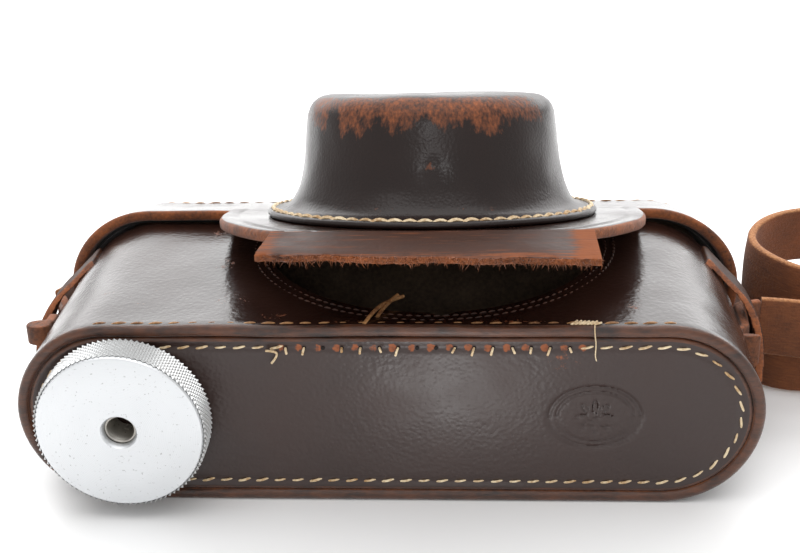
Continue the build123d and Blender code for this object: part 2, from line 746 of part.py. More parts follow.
with BuildPart() as snout_thread:
    snout_stitches = round(2 * pi * SNOUT_SEAM_RADIUS / SNOUT_PITCH)
    with BuildSketch(flap_plane.offset(FLANGE)):
        with PolarLocations(SNOUT_SEAM_RADIUS, snout_stitches):
            SlotOverall(STITCH_LENGTH - 0.4, STITCH_WIDTH + 0.2, rotation=90)
    extrude(amount=STITCH_HEIGHT)
keep(snout_thread, "snout_thread")
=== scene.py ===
"""Leather ever ready case for a small rangefinder camera: its visual model.

The glazed hide half case and cover, the snout, the torn front tongue, the seams,
the strap keepers, the neck strap and the knurled fixing screw are built here round
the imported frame.  Sizes are in millimetres and turn to metres as a mesh is made.
"""
import logging
import math
import random
from dataclasses import dataclass
from enum import Enum
from typing import Callable, Sequence

import bpy
import bmesh
import numpy as np
from mathutils import Matrix, Vector, noise

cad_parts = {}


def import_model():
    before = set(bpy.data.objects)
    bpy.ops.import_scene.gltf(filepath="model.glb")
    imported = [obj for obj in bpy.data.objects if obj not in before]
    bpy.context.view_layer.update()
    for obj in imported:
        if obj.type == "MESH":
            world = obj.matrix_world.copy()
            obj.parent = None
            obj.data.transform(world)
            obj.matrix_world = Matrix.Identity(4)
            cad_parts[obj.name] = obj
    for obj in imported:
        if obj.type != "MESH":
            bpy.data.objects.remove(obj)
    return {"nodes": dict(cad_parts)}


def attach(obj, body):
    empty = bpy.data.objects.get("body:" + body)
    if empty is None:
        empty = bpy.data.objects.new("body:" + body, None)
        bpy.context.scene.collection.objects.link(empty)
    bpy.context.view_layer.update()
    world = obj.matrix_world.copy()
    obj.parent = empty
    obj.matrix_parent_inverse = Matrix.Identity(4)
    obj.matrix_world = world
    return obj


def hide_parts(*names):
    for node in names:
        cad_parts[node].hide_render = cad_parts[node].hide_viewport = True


log = logging.getLogger("ever_ready_case")

MM = 0.001
BOTTOM_Y = -27.0
RIM_Y = 27.0
CASE_WIDTH = 148.0
CASE_DEPTH = 39.4
MIDDLE_Z = CASE_DEPTH / 2
END_X = CASE_WIDTH / 2 - MIDDLE_Z
LEATHER = 2.4
PANEL_INSET = 0.3
SEAM_INSET = 4.6
STITCH_PITCH = 3.65
# Where along X the bottom panel's upper seam has torn.
TORN_SEAM = (-20.5, 39.0)
# Half the width of the notch that the back flap folds through.
NOTCH_SIDE = 11.6


class Slot(Enum):
    """The record's finishes, passed along with each piece."""

    HIDE = "glazed_leather"
    SUEDE = "suede"
    STRAP = "strap_leather"
    LINING = "lining"
    BOARD = "board"
    THREAD = "thread"
    KNOB = "knob_aluminium"
    STEEL = "screw_steel"
    BRASS = "brass"


class Body(Enum):
    """The frame's moving bodies."""

    HALF_CASE = "half_case"
    COVER = "cover"
    BACK_FLAP = "back_flap"
    SCREW = "screw_washer"
    KNOB = "knob"


# ---- colours and nodes ----------------------------------------------------
def colour(text: str) -> tuple[float, float, float, float]:
    """Turn an sRGB hex colour to linear.

    Args:
        text: six hex digits after a hash.

    Returns:
        Linear red, green, blue and an alpha of one.
    """
    parts = [int(text[i:i + 2], 16) / 255 for i in (1, 3, 5)]
    linear = [c / 12.92 if c <= 0.04045 else ((c + 0.055) / 1.055) ** 2.4 for c in parts]
    return (*linear, 1.0)


def add_node(tree: bpy.types.NodeTree, kind: str, inputs: dict | None = None, **settings) -> bpy.types.Node:
    """Add one node with its settings, values and links.

    Args:
        tree: the node tree to add to.
        kind: the node's type name.
        inputs: socket name or number to a value or to another node's output.
        settings: the node's own properties.

    Returns:
        The new node.
    """
    made = tree.nodes.new(kind)
    for key, value in settings.items():
        setattr(made, key, value)
    for key, value in (inputs or {}).items():
        socket = made.inputs[key]
        if isinstance(value, bpy.types.NodeSocket):
            tree.links.new(value, socket)
        else:
            socket.default_value = value
    return made


def maths(tree: bpy.types.NodeTree, operation: str, *values: object) -> bpy.types.NodeSocket:
    """Add one sum on numbers and give its result.

    Args:
        tree: the node tree to add to.
        operation: what to work out, such as ADD.
        values: each number, or another node's output.

    Returns:
        The result's socket.
    """
    return add_node(tree, "ShaderNodeMath", dict(enumerate(values)), operation=operation).outputs[0]


def remap(tree: bpy.types.NodeTree, value: object, low: object, high: object,
          to_low: object = 0.0, to_high: object = 1.0) -> bpy.types.NodeSocket:
    """Add a node that moves a number from one range to another, held at both ends.

    Args:
        tree: the tree that gets the node.
        value: the number or the socket that gives it.
        low: the first range's foot.
        high: the first range's top.
        to_low: the second range's foot.
        to_high: the second range's top.

    Returns:
        The moved number.
    """
    ends = {"From Min": low, "From Max": high, "To Min": to_low, "To Max": to_high}
    return add_node(tree, "ShaderNodeMapRange", {"Value": value, **ends}).outputs[0]


def clouds(tree: bpy.types.NodeTree, place: object, size: float, detail: float) -> bpy.types.NodeSocket:
    """Add soft noise with blots of about one size.

    Args:
        tree: the tree that gets the node.
        place: where the noise is read, in millimetres.
        size: the size of a blot in millimetres.
        detail: how many finer octaves it has.

    Returns:
        The noise from 0 to 1.
    """
    noise_at = {"Vector": place, "Scale": 1 / size, "Detail": detail}
    return add_node(tree, "ShaderNodeTexNoise", noise_at).outputs[0]


def new_material(name: str) -> tuple[bpy.types.Material, bpy.types.NodeTree, bpy.types.Node]:
    """Make an empty material with its surface shader.

    Args:
        name: what the finish is.

    Returns:
        The material, its node tree and the Principled shader.
    """
    material = bpy.data.materials.new(name)
    material.use_nodes = True
    tree = material.node_tree
    tree.nodes.clear()
    shader = add_node(tree, "ShaderNodeBsdfPrincipled")
    output = add_node(tree, "ShaderNodeOutputMaterial")
    tree.links.new(shader.outputs[0], output.inputs[0])
    return material, tree, shader


def metres_to_mm(tree: bpy.types.NodeTree, stretch: tuple[float, float, float] = (1, 1, 1),
                 turn: tuple[float, float, float] = (0, 0, 0), centre: tuple[float, float, float] = (0, 0, 0)
                 ) -> bpy.types.NodeSocket:
    """Give object coordinates in millimetres, stretched and turned as asked."""
    place = add_node(tree, "ShaderNodeTexCoord").outputs["Object"]
    moved = add_node(tree, "ShaderNodeMapping", {
        "Vector": place, "Location": [-c * MM for c in centre]})
    turned = add_node(tree, "ShaderNodeMapping", {
        "Vector": moved.outputs[0], "Rotation": turn, "Scale": [1000 * s for s in stretch]})
    return turned.outputs[0]


def mix_colour(tree: bpy.types.NodeTree, share: object, first: object,
               second: object) -> bpy.types.NodeSocket:
    """Mix two colours by a share from 0 to 1 and give the result."""
    return add_node(tree, "ShaderNodeMix", {0: share, 6: first, 7: second}, data_type="RGBA").outputs[2]


@dataclass(frozen=True)
class Hide:
    """Vegetable tanned cowhide with a glazed grain side, rubbed to its orange core where it is handled.

    The glaze gives a tight grey sheen at a low angle; where it has worn through, the fibre is
    dull and orange.
    """

    name: str
    base: str = "#2c1913"
    deep: str = "#1a0e0b"
    worn: str = "#a1592f"
    roughness: float = 0.2
    grain_size: float = 0.9
    grain_depth: float = 0.05
    ripple: float = 0.07
    worn_roughness: float = 0.72
    softness: float = 0.15
    ior: float = 1.52
    stretch: tuple[float, float, float] = (1.0, 1.0, 1.0)
    turn: tuple[float, float, float] = (0.0, 0.0, 0.0)

    def build(self) -> bpy.types.Material:
        """Make the material; the wear attribute says where the glaze has gone."""
        material, tree, shader = new_material(self.name)
        place = metres_to_mm(tree)
        streaked = metres_to_mm(tree, self.stretch, self.turn)
        cloud = add_node(tree, "ShaderNodeTexNoise", {"Vector": place, "Scale": 1 / 14, "Detail": 4.0})
        shade = mix_colour(tree, cloud.outputs[0], colour(self.deep), colour(self.base))
        # Wear: the attribute plus two sizes of ragged noise, cut to a hard-edged mask.
        wear = add_node(tree, "ShaderNodeAttribute", attribute_name="wear").outputs["Fac"]
        coarse = add_node(tree, "ShaderNodeTexNoise", {"Vector": streaked, "Scale": 1 / 3.2, "Detail": 8.0,
                                                       "Roughness": 0.68})
        fine = add_node(tree, "ShaderNodeTexNoise", {"Vector": streaked, "Scale": 1 / 0.8, "Detail": 3.0})
        ragged = maths(tree, "MULTIPLY", coarse.outputs[0], 0.7)
        ragged = maths(tree, "MULTIPLY_ADD", fine.outputs[0], 0.3, ragged)
        total = maths(tree, "ADD", wear, ragged)
        mask = remap(tree, total, 0.93, 0.93 + self.softness)
        fibre = mix_colour(tree, fine.outputs[0], colour("#5f3019"), colour(self.worn))
        surface = mix_colour(tree, mask, shade, fibre)
        rub = remap(tree, cloud.outputs[0], 0.3, 0.7, self.roughness * 0.8, self.roughness * 1.3)
        rough = add_node(tree, "ShaderNodeMix", {0: mask, 2: rub, 3: self.worn_roughness}).outputs[0]
        # Grain: fine pebbles, drawn near a millimetre so that they show, over slow ripples of the hide.
        pebble = add_node(tree, "ShaderNodeTexVoronoi", {"Vector": place, "Scale": 1 / self.grain_size},
                          feature="SMOOTH_F1").outputs["Distance"]
        slow = clouds(tree, place, 7, 1.0)
        first = add_node(tree, "ShaderNodeBump", {"Height": pebble, "Distance": self.grain_depth * MM,
                                                  "Strength": 0.8})
        second = add_node(tree, "ShaderNodeBump", {"Height": slow, "Distance": self.ripple * MM,
                                                   "Normal": first.outputs[0]})
        third = add_node(tree, "ShaderNodeBump", {"Height": total, "Distance": 0.12 * MM, "Strength": 0.35,
                                                  "Normal": second.outputs[0]}, invert=True)
        for socket, value in (("Base Color", surface), ("Roughness", rough), ("Normal", third.outputs[0])):
            tree.links.new(value, shader.inputs[socket])
        shader.inputs["IOR"].default_value = self.ior
        return material


@dataclass(frozen=True)
class RawEdge:
    """The cut edge or flesh side of vegetable tanned hide: matt orange-brown fibre with darker strands."""

    name: str
    light: str = "#a25d34"
    dark: str = "#4c2615"
    roughness: float = 0.82
    fibre_size: float = 0.7
    stretch: tuple[float, float, float] = (1.0, 1.0, 1.0)
    contrast: float = 0.22
    depth: float = 0.25

    def build(self) -> bpy.types.Material:
        """Make the material."""
        material, tree, shader = new_material(self.name)
        place = metres_to_mm(tree, self.stretch)
        strands = add_node(tree, "ShaderNodeTexNoise", {"Vector": place, "Scale": 1 / self.fibre_size,
                                                        "Detail": 7.0, "Roughness": 0.65})
        patches = add_node(tree, "ShaderNodeTexNoise", {"Vector": metres_to_mm(tree), "Scale": 1 / 6,
                                                        "Detail": 3.0})
        blend = maths(tree, "ADD", strands.outputs[0], patches.outputs[0])
        share = remap(tree, blend, 1 - self.contrast, 1 + self.contrast)
        shade = mix_colour(tree, share, colour(self.dark), colour(self.light))
        bump = add_node(tree, "ShaderNodeBump", {"Height": strands.outputs[0], "Distance": self.depth * MM})
        tree.links.new(shade, shader.inputs["Base Color"])
        tree.links.new(bump.outputs[0], shader.inputs["Normal"])
        shader.inputs["Roughness"].default_value = self.roughness
        shader.inputs["Sheen Weight"].default_value = 0.15
        return material


@dataclass(frozen=True)
class StrapHide:
    """Split hide strap, suede on both faces, with rubbed paler edges and long fibres along it."""

    name: str
    base: str = "#834a25"
    dark: str = "#522c16"
    edge: str = "#bd8453"

    def build(self) -> bpy.types.Material:
        """Make the material from the strap's own along, across and edge attributes."""
        material, tree, shader = new_material(self.name)
        along = add_node(tree, "ShaderNodeAttribute", attribute_name="along").outputs["Fac"]
        across = add_node(tree, "ShaderNodeAttribute", attribute_name="across").outputs["Fac"]
        edge = add_node(tree, "ShaderNodeAttribute", attribute_name="edge").outputs["Fac"]
        flow = add_node(tree, "ShaderNodeCombineXYZ", {"X": along, "Y": across}).outputs[0]
        long_fibre = add_node(tree, "ShaderNodeMapping",
                              {"Vector": flow, "Scale": (0.35, 2.2, 1.0)}).outputs[0]
        fibre = add_node(tree, "ShaderNodeTexNoise", {"Vector": long_fibre, "Scale": 1.1, "Detail": 8.0,
                                                      "Roughness": 0.7})
        blotch = add_node(tree, "ShaderNodeTexNoise",
                          {"Vector": metres_to_mm(tree), "Scale": 1 / 9, "Detail": 4.0})
        fuzz = add_node(tree, "ShaderNodeTexNoise",
                        {"Vector": metres_to_mm(tree), "Scale": 1 / 0.5, "Detail": 4.0})
        blend = maths(tree, "ADD", fibre.outputs[0], blotch.outputs[0])
        share = remap(tree, blend, 0.72, 1.25)
        shade = mix_colour(tree, share, colour(self.dark), colour(self.base))
        rubbed = maths(tree, "MULTIPLY", edge, fuzz.outputs[0])
        rubbed = remap(tree, rubbed, 0.2, 0.75)
        surface = mix_colour(tree, rubbed, shade, colour(self.edge))
        height = maths(tree, "ADD", fibre.outputs[0], fuzz.outputs[0])
        bump = add_node(tree, "ShaderNodeBump", {"Height": height, "Distance": 0.3 * MM, "Strength": 0.8})
        tree.links.new(surface, shader.inputs["Base Color"])
        tree.links.new(bump.outputs[0], shader.inputs["Normal"])
        shader.inputs["Roughness"].default_value = 0.88
        shader.inputs["Sheen Weight"].default_value = 0.08
        return material


@dataclass(frozen=True)
class Metal:
    """A turned or plated metal with faint tool rings and small pits."""

    name: str
    shade: str
    roughness: float
    axis_at: tuple[float, float, float] = (-51.4, 0.0, 20.4)
    ring_depth: float = 0.01
    pit_depth: float = 0.0
    stain: str = "#8e8c88"

    def build(self) -> bpy.types.Material:
        """Make the material; its rings are centred on the screw's axis."""
        material, tree, shader = new_material(self.name)
        place = metres_to_mm(tree, centre=self.axis_at)
        rings = add_node(tree, "ShaderNodeTexWave", {"Vector": place, "Scale": 0.9, "Distortion": 0.4},
                         wave_type="RINGS", rings_direction="Y").outputs["Fac"]
        specks = clouds(tree, place, 0.55, 2.0)
        pits = remap(tree, specks, 0.66, 0.74)
        smear = clouds(tree, place, 9, 6.0)
        tint = mix_colour(tree, pits, colour(self.shade), colour(self.stain))
        rough = add_node(tree, "ShaderNodeMapRange", {"Value": smear, "To Min": self.roughness * 0.8,
                                                      "To Max": self.roughness * 1.2}).outputs[0]
        first = add_node(tree, "ShaderNodeBump", {"Height": rings, "Distance": self.ring_depth * MM})
        second = add_node(tree, "ShaderNodeBump",
                          {"Height": pits, "Distance": max(self.pit_depth, 0.001) * MM,
                           "Normal": first.outputs[0]}, invert=True)
        tree.links.new(tint, shader.inputs["Base Color"])
        tree.links.new(rough, shader.inputs["Roughness"])
        tree.links.new(second.outputs[0], shader.inputs["Normal"])
        shader.inputs["Metallic"].default_value = 1.0
        return material


@dataclass(frozen=True)
class Fibre:
    """Linen thread, flannel or fibre board: a dull pale fibre whose colour wanders."""

    name: str
    light: str
    dark: str
    size: float
    roughness: float = 0.8
    depth: float = 0.1
    sheen: float = 0.0

    def build(self) -> bpy.types.Material:
        """Make the material."""
        material, tree, shader = new_material(self.name)
        place = metres_to_mm(tree)
        grain = add_node(tree, "ShaderNodeTexNoise", {"Vector": place, "Scale": 1 / self.size, "Detail": 5.0})
        drift = add_node(tree, "ShaderNodeTexNoise", {"Vector": place, "Scale": 1 / 11, "Detail": 3.0})
        blend = maths(tree, "ADD", grain.outputs[0], drift.outputs[0])
        share = remap(tree, blend, 0.75, 1.25)
        bump = add_node(tree, "ShaderNodeBump", {"Height": grain.outputs[0], "Distance": self.depth * MM})
        tree.links.new(mix_colour(tree, share, colour(self.dark), colour(self.light)),
                       shader.inputs["Base Color"])
        tree.links.new(bump.outputs[0], shader.inputs["Normal"])
        shader.inputs["Roughness"].default_value = self.roughness
        shader.inputs["Sheen Weight"].default_value = self.sheen
        return material


class Finishes:
    """Every finish on the case, made once."""

    def __init__(self) -> None:
        """Make the materials."""
        self.hide = Hide("glazed_cowhide").build()
        self.panel_hide = Hide("pebbled_cowhide", base="#35231e", deep="#261713", roughness=0.36,
                               grain_size=0.8, grain_depth=0.09, ripple=0.1).build()
        self.snout_hide = Hide("moulded_cowhide", base="#22120e", deep="#150a07", roughness=0.3,
                               grain_size=0.55, worn="#b5673a", softness=0.45, ior=1.4,
                               stretch=(1.3, 1.0, 0.6), turn=(math.radians(-16), 0, 0)).build()
        self.tongue_hide = Hide("cracked_cowhide", base="#45220f", deep="#180b06", worn="#94532b",
                                roughness=0.55, ior=1.3, stretch=(0.15, 3.6, 3.6),
                                worn_roughness=0.85).build()
        self.edge = RawEdge("burnished_cut_edge", light="#5f341a", dark="#1a0d09", roughness=0.33,
                            stretch=(0.22, 1.0, 1.0), fibre_size=0.7, contrast=0.3, depth=0.16).build()
        self.raw_edge = RawEdge("raw_cut_edge", light="#9a5424", dark="#3d1f11", roughness=0.8,
                                contrast=0.3).build()
        self.flesh = RawEdge("flesh_side", light="#7c4726", dark="#452616", fibre_size=0.9).build()
        self.strap = StrapHide("suede_strap_hide").build()
        self.aluminium = Metal("turned_aluminium", "#dcdee0", 0.45, pit_depth=0.02, stain="#b9babb").build()
        self.knurled = Metal("knurled_aluminium", "#cfd0d0", 0.3).build()
        self.steel = Metal("plated_steel", "#a5a19a", 0.28, stain="#4a433c").build()
        self.brass = Metal("aged_brass", "#b08a4e", 0.35, stain="#5e4524").build()
        self.thread = Fibre("waxed_linen_thread", "#e9d7b4", "#a67f50", 0.6, roughness=0.6).build()
        self.tan_thread = Fibre("waxed_tan_thread", "#b98a58", "#69401f", 0.6, roughness=0.6).build()
        self.dark_thread = Fibre("waxed_dark_thread", "#553220", "#28160e", 0.6, roughness=0.6).build()
        self.lining = Fibre("cotton_flannel_lining", "#16110f", "#0a0807", 0.5, roughness=0.95,
                            sheen=0.2).build()
        self.board = Fibre("grey_fibre_board", "#6c5a48", "#4d3f33", 0.8, roughness=0.9).build()
        # Painted shade: a near-black finish for the insides of the needle holes, not a colour of the hide.
        self.hole = Fibre("needle_hole_shade", "#120907", "#0a0504", 0.8, roughness=0.9).build()


# ---- meshes ----------------------------------------------------------------
def ripple(points: np.ndarray, size: float, seed: float) -> np.ndarray:
    """Give smooth noise from -1 to 1 at each point.

    Args:
        points: places in millimetres, one per row.
        size: the noise's grain in millimetres.
        seed: an offset that picks the pattern.

    Returns:
        One value per point.
    """
    shift = Vector((seed, seed * 1.7, seed * 0.6))
    return np.array([noise.noise(Vector(p) / size + shift) for p in points])


def smooth_step(value: np.ndarray | float, low: float, high: float) -> np.ndarray:
    """Give 0 below low, 1 above high and a smooth rise between."""
    share = np.clip((np.asarray(value, float) - low) / (high - low), 0, 1)
    return share * share * (3 - 2 * share)


def grid_faces(rows: int, columns: int, round_rows: bool = False, round_columns: bool = False) -> list[tuple]:
    """Give the quads of a grid of points numbered row by row.

    Args:
        rows: how many rows of points.
        columns: how many points in a row.
        round_rows: join the last row to the first.
        round_columns: join each row's last point to its first.

    Returns:
        Four point numbers for each quad.
    """
    faces = []
    for i in range(rows if round_rows else rows - 1):
        k = (i + 1) % rows
        for j in range(columns if round_columns else columns - 1):
            m = (j + 1) % columns
            faces.append((i * columns + j, i * columns + m, k * columns + m, k * columns + j))
    return faces


def make_piece(name: str, points: np.ndarray, faces: Sequence[tuple], materials: Sequence[bpy.types.Material],
               choice: Sequence[int] | None = None, merge: float = 0.0,
               sharp: float = 40.0) -> bpy.types.Object:
    """Make a smooth-shaded mesh object from points in millimetres.

    Args:
        name: the piece's name.
        points: places in millimetres.
        faces: point numbers of each face.
        materials: the piece's finishes.
        choice: which finish each face has.
        merge: points closer than this, in millimetres, become one.
        sharp: edges bent by more degrees than this stay crisp.

    Returns:
        The object, linked to the scene.
    """
    mesh = bpy.data.meshes.new(name)
    mesh.from_pydata((np.asarray(points, float) * MM).tolist(), [], [tuple(map(int, f)) for f in faces])
    for material in materials:
        mesh.materials.append(material)
    if choice is not None:
        mesh.polygons.foreach_set("material_index", np.asarray(choice, np.int32))
    shape = bmesh.new()
    shape.from_mesh(mesh)
    if merge:
        bmesh.ops.remove_doubles(shape, verts=shape.verts, dist=merge * MM)
    bmesh.ops.recalc_face_normals(shape, faces=shape.faces)
    shape.to_mesh(mesh)
    shape.free()
    piece = bpy.data.objects.new(name, mesh)
    bpy.context.scene.collection.objects.link(piece)
    shade(piece, sharp)
    return piece


def shade(piece: bpy.types.Object, sharp: float = 40.0) -> None:
    """Shade a piece smooth, with edges bent by more than sharp degrees kept crisp."""
    piece.data.polygons.foreach_set("use_smooth", [True] * len(piece.data.polygons))
    piece.data.set_sharp_from_angle(angle=math.radians(sharp))
    piece.data.update()


def places_of(piece: bpy.types.Object) -> np.ndarray:
    """Give a piece's points in millimetres."""
    flat = np.zeros(len(piece.data.vertices) * 3)
    piece.data.vertices.foreach_get("co", flat)
    return flat.reshape(-1, 3) / MM


def set_places(piece: bpy.types.Object, points: np.ndarray) -> None:
    """Put a piece's points at places in millimetres."""
    piece.data.vertices.foreach_set("co", (points * MM).ravel())
    piece.data.update()


def set_value(piece: bpy.types.Object, name: str, values: np.ndarray | float) -> None:
    """Write the number that a material reads, one for each point or the same at all."""
    layer = piece.data.attributes.get(name) or piece.data.attributes.new(name, "FLOAT", "POINT")
    numbers = np.zeros(len(piece.data.vertices), np.float32)
    numbers[:] = values
    layer.data.foreach_set("value", numbers)


def flatten(piece: bpy.types.Object) -> None:
    """Turn a piece's modifiers into plain mesh and take them off."""
    bpy.context.view_layer.update()
    plain = bpy.data.meshes.new_from_object(piece.evaluated_get(bpy.context.evaluated_depsgraph_get()))
    piece.modifiers.clear()
    piece.data = plain


def cut(piece: bpy.types.Object, cutters: Sequence[bpy.types.Object]) -> None:
    """Cut each cutter out of a piece; cut faces take the cutters' finish number.

    Args:
        piece: the mesh to cut.
        cutters: closed meshes, removed afterwards.
    """
    for cutter in cutters:
        tool = piece.modifiers.new("cut", "BOOLEAN")
        tool.operation = "DIFFERENCE"
        tool.solver = "EXACT"
        tool.object = cutter
    flatten(piece)
    for cutter in cutters:
        bpy.data.objects.remove(cutter)


def prism(outline: Sequence[tuple[float, float]], low: float, high: float, finish: int,
          materials: Sequence[bpy.types.Material]) -> bpy.types.Object:
    """Make an upright prism cutter over an outline in X and Y.

    Args:
        outline: corners in order, in millimetres.
        low: its foot.
        high: its top.
        finish: the finish number of its faces.
        materials: the finishes of the piece that it cuts.

    Returns:
        The cutter.
    """
    count = len(outline)
    points = [(x, y, z) for z in (low, high) for x, y in outline]
    faces = [tuple(range(count)), tuple(range(count, 2 * count))]
    faces += [(i, (i + 1) % count, count + (i + 1) % count, count + i) for i in range(count)]
    return make_piece("cutter", np.array(points), faces, materials, [finish] * len(faces))


def notch_cutter(near: float, far: float, high: float, finish: int,
                 materials: Sequence[bpy.types.Material]) -> bpy.types.Object:
    """Make the cutter of the notch that the back flap folds through.

    Args:
        near: where the notch begins along Y.
        far: where it ends along Y.
        high: the cutter's top.
        finish: the finish number of its faces.
        materials: the finishes of the piece that it cuts.

    Returns:
        The cutter.
    """
    outline = [(-NOTCH_SIDE, near), (NOTCH_SIDE, near), (NOTCH_SIDE, far), (-NOTCH_SIDE, far)]
    return prism(outline, -1.0, high, finish, materials)


def softened(node: str, name: str, voxel: float, smoothing: int, materials: Sequence[bpy.types.Material],
             edge_way: tuple[float, float, float] | None = None, limit: float = 0.6) -> bpy.types.Object:
    """Make a rounded leather copy of a frame node.

    Args:
        node: the frame node that it stands for.
        name: the new piece's name.
        voxel: the new mesh's grain in millimetres.
        smoothing: rounds of smoothing.
        materials: the grain finish, and the cut edge finish if edge_way is given.
        edge_way: direction that the cut edges face.
        limit: how nearly a face has to face that way.

    Returns:
        The piece.
    """
    mesh = bpy.data.objects[node].data.copy()
    mesh.materials.clear()
    shape = bmesh.new()
    shape.from_mesh(mesh)
    bmesh.ops.remove_doubles(shape, verts=shape.verts, dist=1e-6)
    shape.to_mesh(mesh)
    shape.free()
    piece = bpy.data.objects.new(name, mesh)
    bpy.context.scene.collection.objects.link(piece)
    grid = piece.modifiers.new("grid", "REMESH")
    grid.mode = "VOXEL"
    grid.voxel_size = voxel * MM
    ease = piece.modifiers.new("ease", "SMOOTH")
    ease.iterations = smoothing
    ease.factor = 0.5
    flatten(piece)
    piece.data.materials.clear()
    for material in materials:
        piece.data.materials.append(material)
    if edge_way:
        way = Vector(edge_way).normalized()
        for face in piece.data.polygons:
            face.material_index = int(abs(face.normal.dot(way)) > limit)
    else:
        piece.data.polygons.foreach_set("material_index", [0] * len(piece.data.polygons))
    shade(piece, 60)
    return piece


def settle(piece: bpy.types.Object, body: Body, slot: Slot, *nodes: str) -> bpy.types.Object:
    """Ride a finished piece on its body and hide the frame nodes it stands for.

    Args:
        piece: the finished piece.
        body: the body it moves with.
        slot: the record's finish; not used.
        nodes: frame nodes that it replaces.

    Returns:
        The piece.
    """
    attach(piece, body.value)
    if nodes:
        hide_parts(*nodes)
    log.info("%s: %d faces", piece.name, len(piece.data.polygons))
    return piece


# ---- geometry node trees ----------------------------------------------------
def tree_with(name: str, sockets: Sequence[tuple[str, str]]
              ) -> tuple[bpy.types.NodeTree, bpy.types.Node, bpy.types.Node]:
    """Start a geometry node tree with named inputs.

    Args:
        name: the tree's name.
        sockets: each input's name and kind.

    Returns:
        The tree, its input node and its output node.
    """
    tree = bpy.data.node_groups.new(name, "GeometryNodeTree")
    tree.interface.new_socket("Geometry", in_out="INPUT", socket_type="NodeSocketGeometry")
    tree.interface.new_socket("Geometry", in_out="OUTPUT", socket_type="NodeSocketGeometry")
    for label, kind in sockets:
        tree.interface.new_socket(label, in_out="INPUT", socket_type=f"NodeSocket{kind}")
    return tree, tree.nodes.new("NodeGroupInput"), tree.nodes.new("NodeGroupOutput")


def grow(piece: bpy.types.Object, tree: bpy.types.NodeTree, values: dict[str, object]) -> bpy.types.Object:
    """Run a tree on a piece with its inputs set, and keep the result as plain mesh.

    Args:
        piece: the object whose mesh goes in.
        tree: the geometry node tree.
        values: each named input's value.

    Returns:
        The piece.
    """
    modifier = piece.modifiers.new(tree.name, "NODES")
    modifier.node_group = tree
    for item in tree.interface.items_tree:
        if item.item_type == "SOCKET" and item.in_out == "INPUT" and item.name in values:
            modifier[item.identifier] = values[item.name]
    flatten(piece)
    shade(piece, 50)
    return piece


def stitch_tree() -> bpy.types.NodeTree:
    """Make the tree that lays arched stitches along a line."""
    tree, given, result = tree_with("stitch_row", [
        ("Pitch", "Float"), ("Length", "Float"), ("Thickness", "Float"), ("Rise", "Float"),
        ("Slant", "Float"),
        ("Wander", "Float"), ("Seed", "Int"), ("Face", "Vector"), ("Finish", "Material")])
    out = given.outputs
    row = add_node(tree, "GeometryNodeMeshToCurve", {"Mesh": out["Geometry"]})
    even = add_node(tree, "GeometryNodeResampleCurve", {"Curve": row.outputs[0], "Length": out["Pitch"]},
                    mode="LENGTH")
    spots = add_node(tree, "GeometryNodeCurveToPoints", {"Curve": even.outputs[0]}, mode="EVALUATED")
    along = add_node(tree, "FunctionNodeAlignRotationToVector", {"Vector": spots.outputs["Tangent"]},
                     axis="X")
    facing = add_node(tree, "FunctionNodeAlignRotationToVector",
                      {"Rotation": along.outputs[0], "Vector": out["Face"]}, axis="Z", pivot_axis="X")
    drift = add_node(tree, "FunctionNodeRandomValue", {"Seed": out["Seed"]}, data_type="FLOAT")
    centred = maths(tree, "SUBTRACT",
                    drift.outputs["Value"] if "Value" in drift.outputs else drift.outputs[1], 0.5)
    swing = maths(tree, "MULTIPLY_ADD", centred, out["Wander"], out["Slant"])
    lean = add_node(tree, "FunctionNodeAxisAngleToRotation", {"Axis": (0, 0, 1), "Angle": swing})
    turned = add_node(tree, "FunctionNodeRotateRotation",
                      {"Rotation": facing.outputs[0], "Rotate By": lean.outputs[0]}, rotation_space="LOCAL")
    half = maths(tree, "MULTIPLY", out["Length"], 0.5)
    other = maths(tree, "MULTIPLY", out["Length"], -0.5)
    sunk = maths(tree, "MULTIPLY", out["Thickness"], -0.7)
    arch = add_node(tree, "GeometryNodeCurveQuadraticBezier", {
        "Resolution": 6,
        "Start": add_node(tree, "ShaderNodeCombineXYZ", {"X": other, "Z": sunk}).outputs[0],
        "Middle": add_node(tree, "ShaderNodeCombineXYZ", {"Z": out["Rise"]}).outputs[0],
        "End": add_node(tree, "ShaderNodeCombineXYZ", {"X": half, "Z": sunk}).outputs[0]})
    round_half = maths(tree, "MULTIPLY", out["Thickness"], 0.5)
    section = add_node(tree, "GeometryNodeCurvePrimitiveCircle", {"Resolution": 6, "Radius": round_half})
    stitch = add_node(tree, "GeometryNodeCurveToMesh", {"Curve": arch.outputs[0],
                                                        "Profile Curve": section.outputs[0],
                                                        "Fill Caps": True})
    size = add_node(tree, "FunctionNodeRandomValue", {"Seed": out["Seed"]}, data_type="FLOAT")
    size.inputs[2].default_value, size.inputs[3].default_value = 0.82, 1.12
    rows = add_node(tree, "GeometryNodeInstanceOnPoints",
                    {"Points": spots.outputs[0], "Instance": stitch.outputs[0],
                     "Rotation": turned.outputs[0], "Scale": size.outputs[1]})
    real = add_node(tree, "GeometryNodeRealizeInstances", {"Geometry": rows.outputs[0]})
    dressed = add_node(tree, "GeometryNodeSetMaterial",
                       {"Geometry": real.outputs[0], "Material": out["Finish"]})
    tree.links.new(dressed.outputs[0], result.inputs[0])
    return tree


